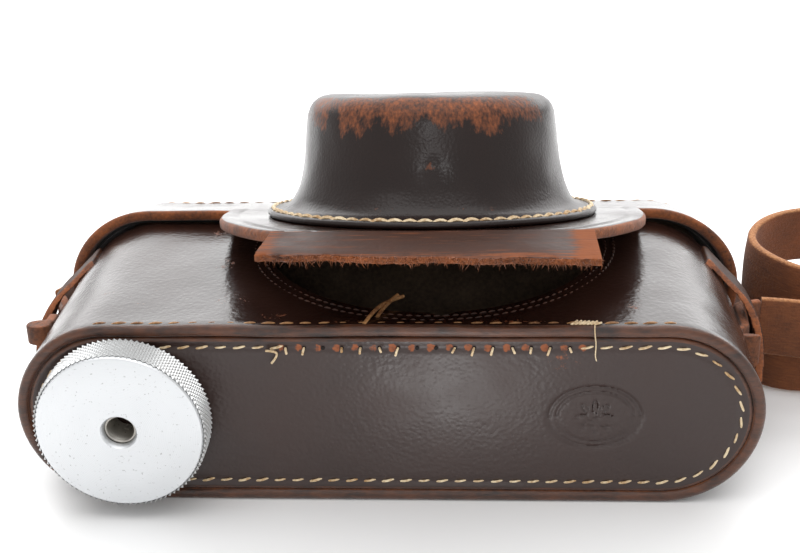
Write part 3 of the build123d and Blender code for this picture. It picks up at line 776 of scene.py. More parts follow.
def knurl_tree() -> bpy.types.NodeTree:
    """Make the tree that sets pointed diamonds round a rim, on the Z axis."""
    tree, given, result = tree_with("diamond_knurl", [
        ("Radius", "Float"), ("Height", "Float"), ("Columns", "Int"), ("Rows", "Int"), ("Depth", "Float"),
        ("Finish", "Material")])
    out = given.outputs
    total = maths(tree, "MULTIPLY", out["Columns"], out["Rows"])
    spots = add_node(tree, "GeometryNodePoints", {"Count": total})
    index = add_node(tree, "GeometryNodeInputIndex").outputs[0]
    column = maths(tree, "MODULO", index, out["Columns"])
    row = maths(tree, "DIVIDE", index, out["Columns"])
    row = maths(tree, "FLOOR", row)
    odd = maths(tree, "MODULO", row, 2.0)
    step = maths(tree, "MULTIPLY_ADD", odd, 0.5, column)
    turn = maths(tree, "DIVIDE", 2 * math.pi, out["Columns"])
    angle = maths(tree, "MULTIPLY", step, turn)
    cosine = maths(tree, "COSINE", angle)
    sine = maths(tree, "SINE", angle)
    rise = maths(tree, "DIVIDE", out["Height"], out["Rows"])
    level = maths(tree, "ADD", row, 0.5)
    place = add_node(tree, "ShaderNodeCombineXYZ", {
        "X": maths(tree, "MULTIPLY", cosine, out["Radius"]),
        "Y": maths(tree, "MULTIPLY", sine, out["Radius"]),
        "Z": maths(tree, "MULTIPLY", level, rise)})
    moved = add_node(tree, "GeometryNodeSetPosition",
                     {"Geometry": spots.outputs[0], "Position": place.outputs[0]})
    arc = maths(tree, "MULTIPLY", turn, out["Radius"])
    wide = maths(tree, "MULTIPLY", arc, 0.54)
    point = add_node(tree, "GeometryNodeMeshCone", {"Vertices": 4, "Radius Top": 0.0, "Radius Bottom": wide,
                                                    "Depth": out["Depth"]}, fill_type="NONE")
    tall = maths(tree, "DIVIDE", rise, wide)
    spin = add_node(tree, "ShaderNodeCombineXYZ", {"Y": math.pi / 2}).outputs[0]
    laid = add_node(tree, "GeometryNodeTransform", {"Geometry": point.outputs[0], "Rotation": spin})
    tall_scale = add_node(tree, "ShaderNodeCombineXYZ", {"X": 1.0, "Y": 1.0, "Z": tall}).outputs[0]
    facing = add_node(tree, "ShaderNodeCombineXYZ", {"Z": angle}).outputs[0]
    rim = add_node(tree, "GeometryNodeInstanceOnPoints",
                   {"Points": moved.outputs[0], "Instance": laid.outputs[0],
                    "Rotation": facing, "Scale": tall_scale})
    real = add_node(tree, "GeometryNodeRealizeInstances", {"Geometry": rim.outputs[0]})
    dressed = add_node(tree, "GeometryNodeSetMaterial",
                       {"Geometry": real.outputs[0], "Material": out["Finish"]})
    tree.links.new(dressed.outputs[0], result.inputs[0])
    return tree


def fray_tree() -> bpy.types.NodeTree:
    """Make the tree that sets loose leather fibres along a torn edge."""
    tree, given, result = tree_with("frayed_edge", [
        ("Spacing", "Float"), ("Length", "Float"), ("Thickness", "Float"), ("Spread", "Float"),
        ("Seed", "Int"),
        ("Way", "Vector"), ("Finish", "Material")])
    out = given.outputs
    row = add_node(tree, "GeometryNodeMeshToCurve", {"Mesh": out["Geometry"]})
    spots = add_node(tree, "GeometryNodeCurveToPoints", {"Curve": row.outputs[0], "Length": out["Spacing"]},
                     mode="LENGTH")
    shift = add_node(tree, "FunctionNodeRandomValue", {"Seed": out["Seed"]}, data_type="FLOAT_VECTOR")
    shift.inputs[0].default_value, shift.inputs[1].default_value = (-1, -1, -1), (1, 1, 1)
    spread = add_node(tree, "ShaderNodeVectorMath", {0: shift.outputs[0], "Scale": out["Spread"]},
                      operation="SCALE")
    way = add_node(tree, "ShaderNodeVectorMath", {0: out["Way"], 1: spread.outputs[0]}, operation="ADD")
    facing = add_node(tree, "FunctionNodeAlignRotationToVector", {"Vector": way.outputs[0]}, axis="Z")
    strand = add_node(tree, "GeometryNodeMeshCone", {"Vertices": 3, "Radius Top": 0.0,
                                                     "Radius Bottom": out["Thickness"],
                                                     "Depth": out["Length"]})
    size = add_node(tree, "FunctionNodeRandomValue", {"Seed": out["Seed"]}, data_type="FLOAT")
    size.inputs[2].default_value, size.inputs[3].default_value = 0.3, 1.2
    rows = add_node(tree, "GeometryNodeInstanceOnPoints",
                    {"Points": spots.outputs[0], "Instance": strand.outputs[0],
                     "Rotation": facing.outputs[0], "Scale": size.outputs[1]})
    real = add_node(tree, "GeometryNodeRealizeInstances", {"Geometry": rows.outputs[0]})
    dressed = add_node(tree, "GeometryNodeSetMaterial",
                       {"Geometry": real.outputs[0], "Material": out["Finish"]})
    tree.links.new(dressed.outputs[0], result.inputs[0])
    return tree


def line_object(name: str, lines: Sequence[Sequence[tuple[float, float, float]]]) -> bpy.types.Object:
    """Make an object of open lines through points in millimetres."""
    points: list[tuple] = []
    edges: list[tuple[int, int]] = []
    for line in lines:
        start = len(points)
        points += [tuple(c * MM for c in p) for p in line]
        edges += [(start + i, start + i + 1) for i in range(len(line) - 1)]
    mesh = bpy.data.meshes.new(name)
    mesh.from_pydata(points, edges, [])
    made = bpy.data.objects.new(name, mesh)
    bpy.context.scene.collection.objects.link(made)
    return made


@dataclass
class Seam:
    """One row of stitches."""

    name: str
    lines: Sequence[Sequence[tuple[float, float, float]]]
    face: tuple[float, float, float]
    pitch: float = STITCH_PITCH
    length: float = 3.0
    thickness: float = 0.62
    rise: float = 0.55
    slant: float = 0.14
    wander: float = 0.2
    seed: int = 3

    def build(self, tree: bpy.types.NodeTree, finish: bpy.types.Material) -> bpy.types.Object:
        """Lay the stitches along the seam's lines."""
        row = line_object(self.name, self.lines)
        return grow(row, tree, {
            "Pitch": self.pitch * MM, "Length": self.length * MM, "Thickness": self.thickness * MM,
            "Rise": self.rise * MM, "Slant": self.slant, "Wander": self.wander, "Seed": self.seed,
            "Face": self.face, "Finish": finish})


# ---- the leather shells -----------------------------------------------------
@dataclass(frozen=True)
class RoundEnded:
    """A round-ended tube of leather along Y that may taper; it lies on the surface at z 0."""

    near_width: float
    near_depth: float
    far_width: float
    far_depth: float
    near_y: float
    far_y: float
    back_y: float | None = None

    def stations(self, spacing: float) -> np.ndarray:
        """Give the stops round the tube: the side to side share and the facing angle of each."""
        half = (self.near_width - self.near_depth) / 2
        straight = max(2, round(2 * half / spacing))
        bend = max(4, round(math.pi * self.near_depth / 2 / spacing))
        run = np.linspace(-1, 1, straight, endpoint=False)
        turn = np.linspace(0, math.pi, bend, endpoint=False)
        up = math.pi / 2
        return np.concatenate([
            np.stack([run, np.full(straight, up)], 1), np.stack([np.ones(bend), up - turn], 1),
            np.stack([-run, np.full(straight, -up)], 1), np.stack([-np.ones(bend), -up - turn], 1)])

    def at(self, station: np.ndarray, inset: float, y: np.ndarray) -> np.ndarray:
        """Give points at stations, inset from the outside, at each y."""
        share = (y - self.near_y) / (self.far_y - self.near_y)
        width = self.near_width + share * (self.far_width - self.near_width)
        depth = self.near_depth + share * (self.far_depth - self.near_depth)
        radius = depth / 2
        x = station[:, 0] * (width / 2 - radius) + (radius - inset) * np.cos(station[:, 1])
        z = radius + (radius - inset) * np.sin(station[:, 1])
        return np.stack([x, y, z], 1)

    def near_edge(self, station: np.ndarray) -> np.ndarray:
        """Give the y of the near edge at each station, sloping back towards the floor if asked."""
        if self.back_y is None:
            return np.full(len(station), self.near_y)
        z = self.near_depth / 2 * (1 + np.sin(station[:, 1]))
        return self.back_y + (self.near_y - self.back_y) * z / self.near_depth

    def shell(self, name: str, wall: float, rounding: float, spacing: float,
              materials: Sequence[bpy.types.Material], wave: float, seed: float) -> bpy.types.Object:
        """Build the wall as one closed skin with rounded edges.

        Args:
            name: the piece's name.
            wall: the leather's thickness.
            rounding: the edges' radius.
            spacing: the mesh's grain.
            materials: grain side, near edge, far edge and inner side finishes.
            wave: how far the hide wanders from flat.
            seed: picks the wave's pattern.

        Returns:
            The piece.
        """
        station = self.stations(spacing)
        near = self.near_edge(station)
        length = round((self.far_y - self.near_y) / spacing)
        bend = np.linspace(0, math.pi / 2, 4)[1:]
        rows: list[tuple[float, float, float, int]] = []
        for k in range(length + 1):
            rows.append((0.0, k / length, rounding * (1 - 2 * k / length), 0))
        rows += [(rounding * (1 - math.cos(a)), 1.0, -rounding * (1 - math.sin(a)), 2) for a in bend]
        rows += [(wall - rounding * (1 - math.sin(a)), 1.0, -rounding * (1 - math.cos(a)), 2)
                 for a in np.linspace(0, math.pi / 2, 4)]
        for k in range(length // 2 + 1):
            rows.append((wall, 1 - k / (length // 2), -rounding * (1 - 2 * k / (length // 2)), 3))
        rows += [(wall - rounding * (1 - math.cos(a)), 0.0, rounding * (1 - math.sin(a)), 1) for a in bend]
        rows += [(rounding * (1 - math.sin(a)), 0.0, rounding * (1 - math.cos(a)), 1)
                 for a in np.linspace(0, math.pi / 2, 4)[:-1]]
        points, choice = [], []
        for inset, share, shift, finish in rows:
            points.append(self.at(station, inset, near + (self.far_y - near) * share + shift))
            choice += [finish] * len(station)
        skin = np.concatenate(points)
        outward = np.stack([np.cos(station[:, 1]), np.zeros(len(station)), np.sin(station[:, 1])], 1)
        sway = ripple(skin, 17.0, seed) * wave + ripple(skin, 6.0, seed + 9) * wave * 0.25
        lift = np.where(skin[:, 2] < 4.0, 0.0, 1.0)
        skin = skin + np.tile(outward, (len(rows), 1)) * (sway * lift)[:, None]
        faces = grid_faces(len(rows), len(station), True, True)
        return make_piece(name, skin, faces, materials, choice, merge=0.01, sharp=50)

    def plate(self, name: str, y: float, way: int, inset: float, thickness: float, rounding: float,
              materials: Sequence[bpy.types.Material], relief: Callable[[np.ndarray], np.ndarray],
              fine: tuple[float, float] | None = None) -> bpy.types.Object:
        """Build an end panel as a closed plate with a finely divided face.

        Args:
            name: the piece's name.
            y: where its face is.
            way: -1 if it faces the near side, 1 if the far side.
            inset: how far its rim is inside the tube's outline.
            thickness: the plate's thickness.
            rounding: its rim's radius.
            materials: face and rim finishes.
            relief: gives how far each face point stands proud.
            fine: a stretch of x that needs a finer mesh.

        Returns:
            The piece.
        """
        station = self.stations(0.6)
        if fine:
            half = (self.near_width - self.near_depth) / 2
            extra = np.arange(fine[0], fine[1], 0.22) / half
            run = np.unique(np.concatenate([station[station[:, 1] == math.pi / 2][:, 0], extra]))
            bend = station[(station[:, 0] == 1) & (station[:, 1] < math.pi / 2 - 1e-6)
                           & (station[:, 1] > -math.pi / 2 + 1e-6)][:, 1]
            up = math.pi / 2
            station = np.concatenate([
                np.stack([run, np.full(len(run), up)], 1), np.stack([np.ones(len(bend) + 1),
                                                                     np.append(up, bend)], 1),
                np.stack([-run, np.full(len(run), -up)], 1),
                np.stack([-np.ones(len(bend) + 1), np.append(-up, -up - (up - bend))], 1)])
        radius = self.at(station[:1], 0.0, np.array([y]))[0][2] / 2
        level = np.full(len(station), y)
        rows = [self.at(station, inset, level - way * thickness)]
        rows += [self.at(station, inset + rounding * (1 - math.cos(a)),
                         level - way * rounding * (1 - math.sin(a)))
                 for a in np.linspace(0, math.pi / 2, 4)]
        rings = round((radius - inset - rounding) / 0.36)
        start = len(rows)
        for k in range(1, rings + 1):
            depth = inset + rounding + (radius - inset - rounding) * k / rings
            rows.append(self.at(station, depth, level))
        points = np.concatenate(rows)
        stand = relief(points)
        stand[:start * len(station)] *= 0
        points[:, 1] += way * stand
        choice = [1] * (start - 1) * len(station) + [0] * (len(rows) - start) * len(station)
        faces = grid_faces(len(rows), len(station), False, True)
        back = np.arange(len(station))
        return make_piece(name, points, [*faces, tuple(back[::-1])], materials, [*choice, 1], merge=0.02,
                          sharp=60)

    def seam_line(self, inset: float, y: float, spacing: float = 0.8, gap: tuple[float, float] | None = None
                  ) -> list[list[tuple[float, float, float]]]:
        """Give the lines of a seam round an end panel, open along the top where it has torn."""
        station = self.stations(spacing)
        line = self.at(station, inset, np.full(len(station), y))
        if gap is None:
            return [[tuple(p) for p in [*line, line[0]]]]
        torn = (line[:, 2] > self.near_depth / 2) & (line[:, 0] > gap[0]) & (line[:, 0] < gap[1])
        after = int(np.nonzero(torn)[0][-1]) + 1
        turned = np.roll(line, -after, axis=0)
        return [[tuple(p) for p in turned[:len(line) - int(torn.sum())]]]


@dataclass
class HalfCase:
    """The lower half case: wall, bottom panel, lens opening, seams and their loose threads."""

    finishes: Finishes
    stitches: bpy.types.NodeTree
    opening_x: float = 8.5
    opening_y: float = 15.0
    opening_radius: float = 35.5
    notch: float = 1.8
    mark_x: float = 41.0
    mark_z: float = 19.6
    # Rubbed places on the front: x, y, half length, half width and how much glaze has gone.
    rubbed: tuple[tuple[float, ...], ...] = (
        (-31, -15, 7, 6, 0.37), (-35, 2, 5, 13, 0.36), (-22, -21.5, 9, 3, 0.4), (-40, 20, 5, 6, 0.38),
        (48, -17, 9, 5, 0.37), (52, -4, 6, 9, 0.32), (24, -24.2, 14, 1.6, 0.42), (-52, -12, 16, 14, 0.3),
        (-66, -16, 8, 12, 0.33), (66, -10, 8, 14, 0.3), (-6, -24.6, 12, 1.4, 0.42))
    keeper_wear: float = 0.36
    keeper_slope: float = 0.784
    keeper_narrowing: float = 0.34
    keeper_drop: float = 0.2
    keeper_pull: float = 0.5
    tube: RoundEnded = RoundEnded(CASE_WIDTH, CASE_DEPTH, CASE_WIDTH, CASE_DEPTH, BOTTOM_Y, RIM_Y)

    def opening_outline(self, grow_by: float = 0.0) -> list[tuple[float, float]]:
        """Give the lens opening's outline, round at the near side and open at the rim."""
        radius = self.opening_radius + grow_by
        tip = math.asin(self.notch / radius)
        arc = [*np.linspace(math.pi, 1.5 * math.pi, 40), *np.linspace(1.5 * math.pi, 2 * math.pi, 40)[1:]]
        outline = [(self.opening_x + radius * math.cos(a), self.opening_y + radius * math.sin(a)) for a in arc
                   if abs(a - 1.5 * math.pi - 3 / radius) > tip]
        point = (self.opening_x + 3, self.opening_y - radius - self.notch)
        place = next(i for i, p in enumerate(outline) if p[0] > point[0] and p[1] < self.opening_y)
        outline.insert(place, point)
        outline += [(self.opening_x + radius, RIM_Y + 12), (self.opening_x - radius, RIM_Y + 12)]
        return outline

    def wall(self) -> None:
        """Build the wall with its opening, and mark where its glaze is worn."""
        fin = self.finishes
        finish = [fin.hide, fin.edge, fin.raw_edge, fin.flesh]
        piece = self.tube.shell("half_case_hide", LEATHER, 1.0, 1.6, finish, 0.28, 4.2)
        cut(piece, [prism(self.opening_outline(), CASE_DEPTH - 5, CASE_DEPTH + 5, 1, finish)])
        cut(piece, [notch_cutter(8.4, RIM_Y + 2, LEATHER + 0.5, 1, finish)])
        x, y, z = places_of(piece).T
        wear = 0.55 * smooth_step(-y, 25.6, 26.9) * (z > LEATHER + 0.6)
        wear = np.maximum(wear, 0.64 * smooth_step(y, 25.7, 26.5))
        for at_x, at_y, long, wide, much in self.rubbed:
            far = np.hypot((x - at_x) / long, (y - at_y) / wide)
            wear = np.maximum(wear, much * (1 - smooth_step(far, 0.3, 1.2)) * (z > 20))
        set_value(piece, "wear", wear)
        shade(piece, 50)
        settle(piece, Body.HALF_CASE, Slot.HIDE, "half_case_wall")

    def relief(self, points: np.ndarray) -> np.ndarray:
        """Give the panel's relief: padding, the seam's furrow, a drop at the rim and the plain pressed mark.
        """
        x, _, z = points.T
        depth = MIDDLE_Z - np.hypot(np.maximum(np.abs(x) - END_X, 0), z - MIDDLE_Z)
        stand = ripple(points, 19.0, 7.7) * 0.22 + ripple(points, 7.0, 2.7) * 0.05
        stand *= smooth_step(depth, 3.0, 9.0)
        stand = stand - 0.3 * np.exp(-((depth - SEAM_INSET) / 0.75) ** 2)
        stand = stand - 0.3 * (1 - smooth_step(depth, 2.6, 3.6))
        # A plain mark: two oval lines round an eight-petalled rosette.
        u, v = x - self.mark_x, z - self.mark_z
        oval = np.hypot(u / 8.9, v / 6.7)
        away = np.hypot(u, v)
        petal = np.abs(away - 3.5 * np.abs(np.cos(4 * np.arctan2(v, u))))
        lines = (0.45 * np.exp(-((oval - 1) * 7.8 / 0.42) ** 2)
                 + 0.35 * np.exp(-((oval - 0.84) * 7.8 / 0.3) ** 2)
                 + 0.4 * np.exp(-(petal / 0.3) ** 2) * (away < 4.2))
        return stand - lines - 0.12 * (1 - smooth_step(oval, 0.9, 1.1))

    def panel(self) -> None:
        """Build the bottom panel and mark its rubbed places."""
        fin = self.finishes
        face = BOTTOM_Y + PANEL_INSET
        piece = self.tube.plate("bottom_panel_hide", face, -1, LEATHER + 0.12, LEATHER, 0.7,
                                [fin.panel_hide, fin.edge], self.relief,
                                (self.mark_x - 10.5, self.mark_x + 10.5))
        x, _, z = places_of(piece).T
        depth = MIDDLE_Z - np.hypot(np.maximum(np.abs(x) - END_X, 0), z - MIDDLE_Z)
        wear = 0.34 * (1 - smooth_step(depth, 2.5, 4.0))
        top = CASE_DEPTH - SEAM_INSET
        pitch = np.abs((x / STITCH_PITCH) % 1 - 0.5) * STITCH_PITCH
        torn = (x > TORN_SEAM[0]) & (x < TORN_SEAM[1]) & (z > MIDDLE_Z)
        halo = 0.62 * (1 - smooth_step(np.hypot(pitch, z - top), 0.5, 1.5)) * torn
        wear = np.maximum(wear, halo)
        wear = np.maximum(wear, 0.42 * (1 - smooth_step(np.hypot((x - 34) / 7, (z - 32) / 3), 0.4, 1.2)))
        set_value(piece, "wear", wear)
        settle(piece, Body.HALF_CASE, Slot.HIDE, "bottom_panel")

    def seams(self) -> None:
        """Lay the panel's seam, the wall's seam and the two rows round the opening."""
        fin, tree = self.finishes, self.stitches
        face = BOTTOM_Y + PANEL_INSET
        lines = self.tube.seam_line(SEAM_INSET, face + 0.22, gap=TORN_SEAM)
        piece = Seam("bottom_seam", lines, (0, -1, 0), length=2.7, thickness=0.5,
                     slant=0.2, seed=11).build(tree, fin.thread)
        settle(piece, Body.HALF_CASE, Slot.THREAD, "bottom_seam_thread")
        row = [[(x, BOTTOM_Y + 1.9, CASE_DEPTH + 0.02) for x in np.arange(-END_X - 1, END_X + 1, 1.0)]]
        piece = Seam("wall_seam", row, (0, 0, 1), length=2.9, thickness=0.5, rise=0.35,
                     slant=0.1, seed=5).build(tree, fin.tan_thread)
        settle(piece, Body.HALF_CASE, Slot.THREAD, "wall_seam_thread")
        rows = []
        for offset in (1.6, 3.4):
            radius = self.opening_radius + offset
            arc = [(self.opening_x + radius * math.cos(a), self.opening_y + radius * math.sin(a),
                    CASE_DEPTH + 0.05)
                   for a in np.linspace(math.pi, 2 * math.pi, 90)]
            rows.append([(arc[0][0], RIM_Y - 1.5, arc[0][2]), *arc, (arc[-1][0], RIM_Y - 1.5, arc[0][2])])
        piece = Seam("opening_seams", rows, (0, 0, 1), pitch=1.8, length=1.5, thickness=0.4, rise=0.3,
                     slant=0.1, seed=8).build(tree, fin.dark_thread)
        settle(piece, Body.HALF_CASE, Slot.THREAD, "opening_thread")

    def loose_threads(self) -> None:
        """Add the stubs and snapped ends of the torn seam, and near-black plugs of painted shade in its
        needle holes.
        """
        face = BOTTOM_Y + PANEL_INSET
        top = CASE_DEPTH - SEAM_INSET
        dice = random.Random(21)
        stubs = []
        x = TORN_SEAM[0] + 1.5
        while x < TORN_SEAM[1]:
            if dice.random() < 0.62:
                lean, drop = dice.uniform(-0.6, 0.6), dice.uniform(0.5, 1.5)
                stubs.append([(x, face + 0.3, top), (x + lean * 0.5, face - 0.5, top - drop * 0.3),
                              (x + lean, face - 0.35, top - drop)])
            x += STITCH_PITCH
        face -= 0.25
        stubs.append([(-22.8, face, 34.3), (-21.6, face - 0.6, 34.6), (-20.4, face - 0.7, 34.2),
                      (-20.9, face - 0.6, 32.9), (-21.8, face - 0.2, 31.7)])
        hanging = [(40.4, BOTTOM_Y + 0.5, 39.9), (40.3, BOTTOM_Y - 0.5, 38.6), (40.7, BOTTOM_Y - 0.8, 36.0),
                   (40.5, BOTTOM_Y - 0.7, 33.4), (40.9, face, 32.2)]
        snag = [[(-3.6, BOTTOM_Y + 1.2, 39.5), (-2.4, BOTTOM_Y + 4, 40.4), (0.2, BOTTOM_Y + 9, 40.6),
                 (3.4, BOTTOM_Y + 12.5, 40.1)],
                [(-1.2, BOTTOM_Y + 4, 39.7), (0.0, BOTTOM_Y + 8, 40.4), (2.4, BOTTOM_Y + 11.5, 40.8)]]
        # Seven short ends make the clump at the seam's torn end.
        for k in range(7):
            start = 36.0 + 0.75 * k
            stubs.append([(start, BOTTOM_Y + 1.2, 39.5), (start + 0.5, BOTTOM_Y + 0.8, 39.85),
                          (start + 1.2, BOTTOM_Y + 1.9 + dice.uniform(-0.4, 0.6), 39.55)])
        piece = self.threads("loose_thread_ends", stubs, 0.24)
        settle(piece, Body.HALF_CASE, Slot.THREAD)
        settle(self.threads("hanging_thread", [hanging], 0.12), Body.HALF_CASE, Slot.THREAD)
        piece = self.threads("snagged_thread", snag, 0.4)
        piece.data.materials[0] = self.finishes.tan_thread
        settle(piece, Body.HALF_CASE, Slot.THREAD)
        # The needle holes are near-black plugs: painted shade standing in for the dark inside of each empty
        # hole.
        hole_y = BOTTOM_Y + PANEL_INSET
        holes = [[(x, hole_y + 0.42, top - 0.1), (x + 0.01, hole_y + 0.1, top - 0.1)]
                 for x in np.arange(TORN_SEAM[0] + 1.5, TORN_SEAM[1], STITCH_PITCH)]
        piece = self.threads("needle_hole_shade_plugs", holes, 0.42)
        piece.data.materials.clear()
        piece.data.materials.append(self.finishes.hole)
        settle(piece, Body.HALF_CASE, Slot.HIDE)

    def threads(self, name: str, lines: list, radius: float) -> bpy.types.Object:
        """Make short round threads through points."""
        curve = bpy.data.curves.new(name, "CURVE")
        curve.dimensions = "3D"
        curve.bevel_depth = radius * MM
        curve.bevel_resolution = 1
        curve.resolution_u = 5
        curve.use_fill_caps = True
        for line in lines:
            strand = curve.splines.new("NURBS")
            strand.points.add(len(line) - 1)
            for point, place in zip(strand.points, line):
                point.co = (*[c * MM for c in place], 1.0)
            strand.order_u = 3
            strand.use_endpoint_u = True
        holder = bpy.data.objects.new(name, curve)
        bpy.context.scene.collection.objects.link(holder)
        bpy.context.view_layer.update()
        mesh = bpy.data.meshes.new_from_object(holder.evaluated_get(bpy.context.evaluated_depsgraph_get()))
        bpy.data.objects.remove(holder)
        mesh.materials.clear()
        mesh.materials.append(self.finishes.thread)
        piece = bpy.data.objects.new(name, mesh)
        bpy.context.scene.collection.objects.link(piece)
        shade(piece, 60)
        return piece

    def pulled_in(self, points: np.ndarray, sign: int) -> np.ndarray:
        """Narrow a keeper's band and draw its upper run down onto the case's round end.

        Args:
            points: the band's places.
            sign: -1 for the left end, 1 for the right.

        Returns:
            The new places.
        """
        x, y, z = points.T
        across = y - self.keeper_slope * z
        y = y - self.keeper_narrowing * (across - across.mean())
        out, up = x * sign - END_X, z - MIDDLE_Z
        angle, radius = np.arctan2(up, out), np.hypot(out, up)
        high = smooth_step(angle, 0.0, 0.7)
        angle = angle * (1 - self.keeper_drop * smooth_step(angle, 0.15, 0.8))
        skin = MIDDLE_Z + 0.05
        radius = skin + (radius - skin) * (1 - self.keeper_pull * high)
        return np.stack([sign * (END_X + radius * np.cos(angle)), y, MIDDLE_Z + radius * np.sin(angle)], 1)

    def keepers(self) -> None:
        """Round the strap keepers and the rolled strap ends that they hold.

        The left roll stands higher and is narrow; the right one is wide and pressed flat.
        """
        fin = self.finishes
        slope = (0.0, 1.0, -self.keeper_slope)
        for side, sign, lift, roll in (("left", -1, 6.5, 0.75), ("right", 1, -1.2, 0.3)):
            band = softened(f"{side}_keeper", f"{side}_keeper_hide", 0.42, 6, [fin.tongue_hide, fin.raw_edge],
                            slope, 0.75)
            set_places(band, self.pulled_in(places_of(band), sign))
            set_value(band, "wear", self.keeper_wear)
            settle(band, Body.HALF_CASE, Slot.HIDE, f"{side}_keeper")
            end = softened(f"strap_end_{side}", f"strap_roll_{side}", 0.4, 6, [fin.flesh, fin.raw_edge],
                           (0.0, 0.0, 1.0), 0.8)
            x, y, z = places_of(end).T
            near = 1 - smooth_step(y, -1.5, 6.0)
            squeeze = 0.9 if side == "left" else 0.0
            z = MIDDLE_Z + (z - MIDDLE_Z) * (1.45 - squeeze * near) + lift * near - 1.2 * (1 - near)
            x = x - sign * (1.0 + 2.0 * (1 - roll)) * near
            y = np.where(y < -1, -1 + (y + 1) * roll, y) + 2.6 * near
            set_places(end, np.stack([x, y, z], 1))
            settle(end, Body.HALF_CASE, Slot.STRAP, f"strap_end_{side}")

    def build(self) -> None:
        """Build the half case."""
        self.wall()
        self.panel()
        self.seams()
        self.loose_threads()
        self.keepers()


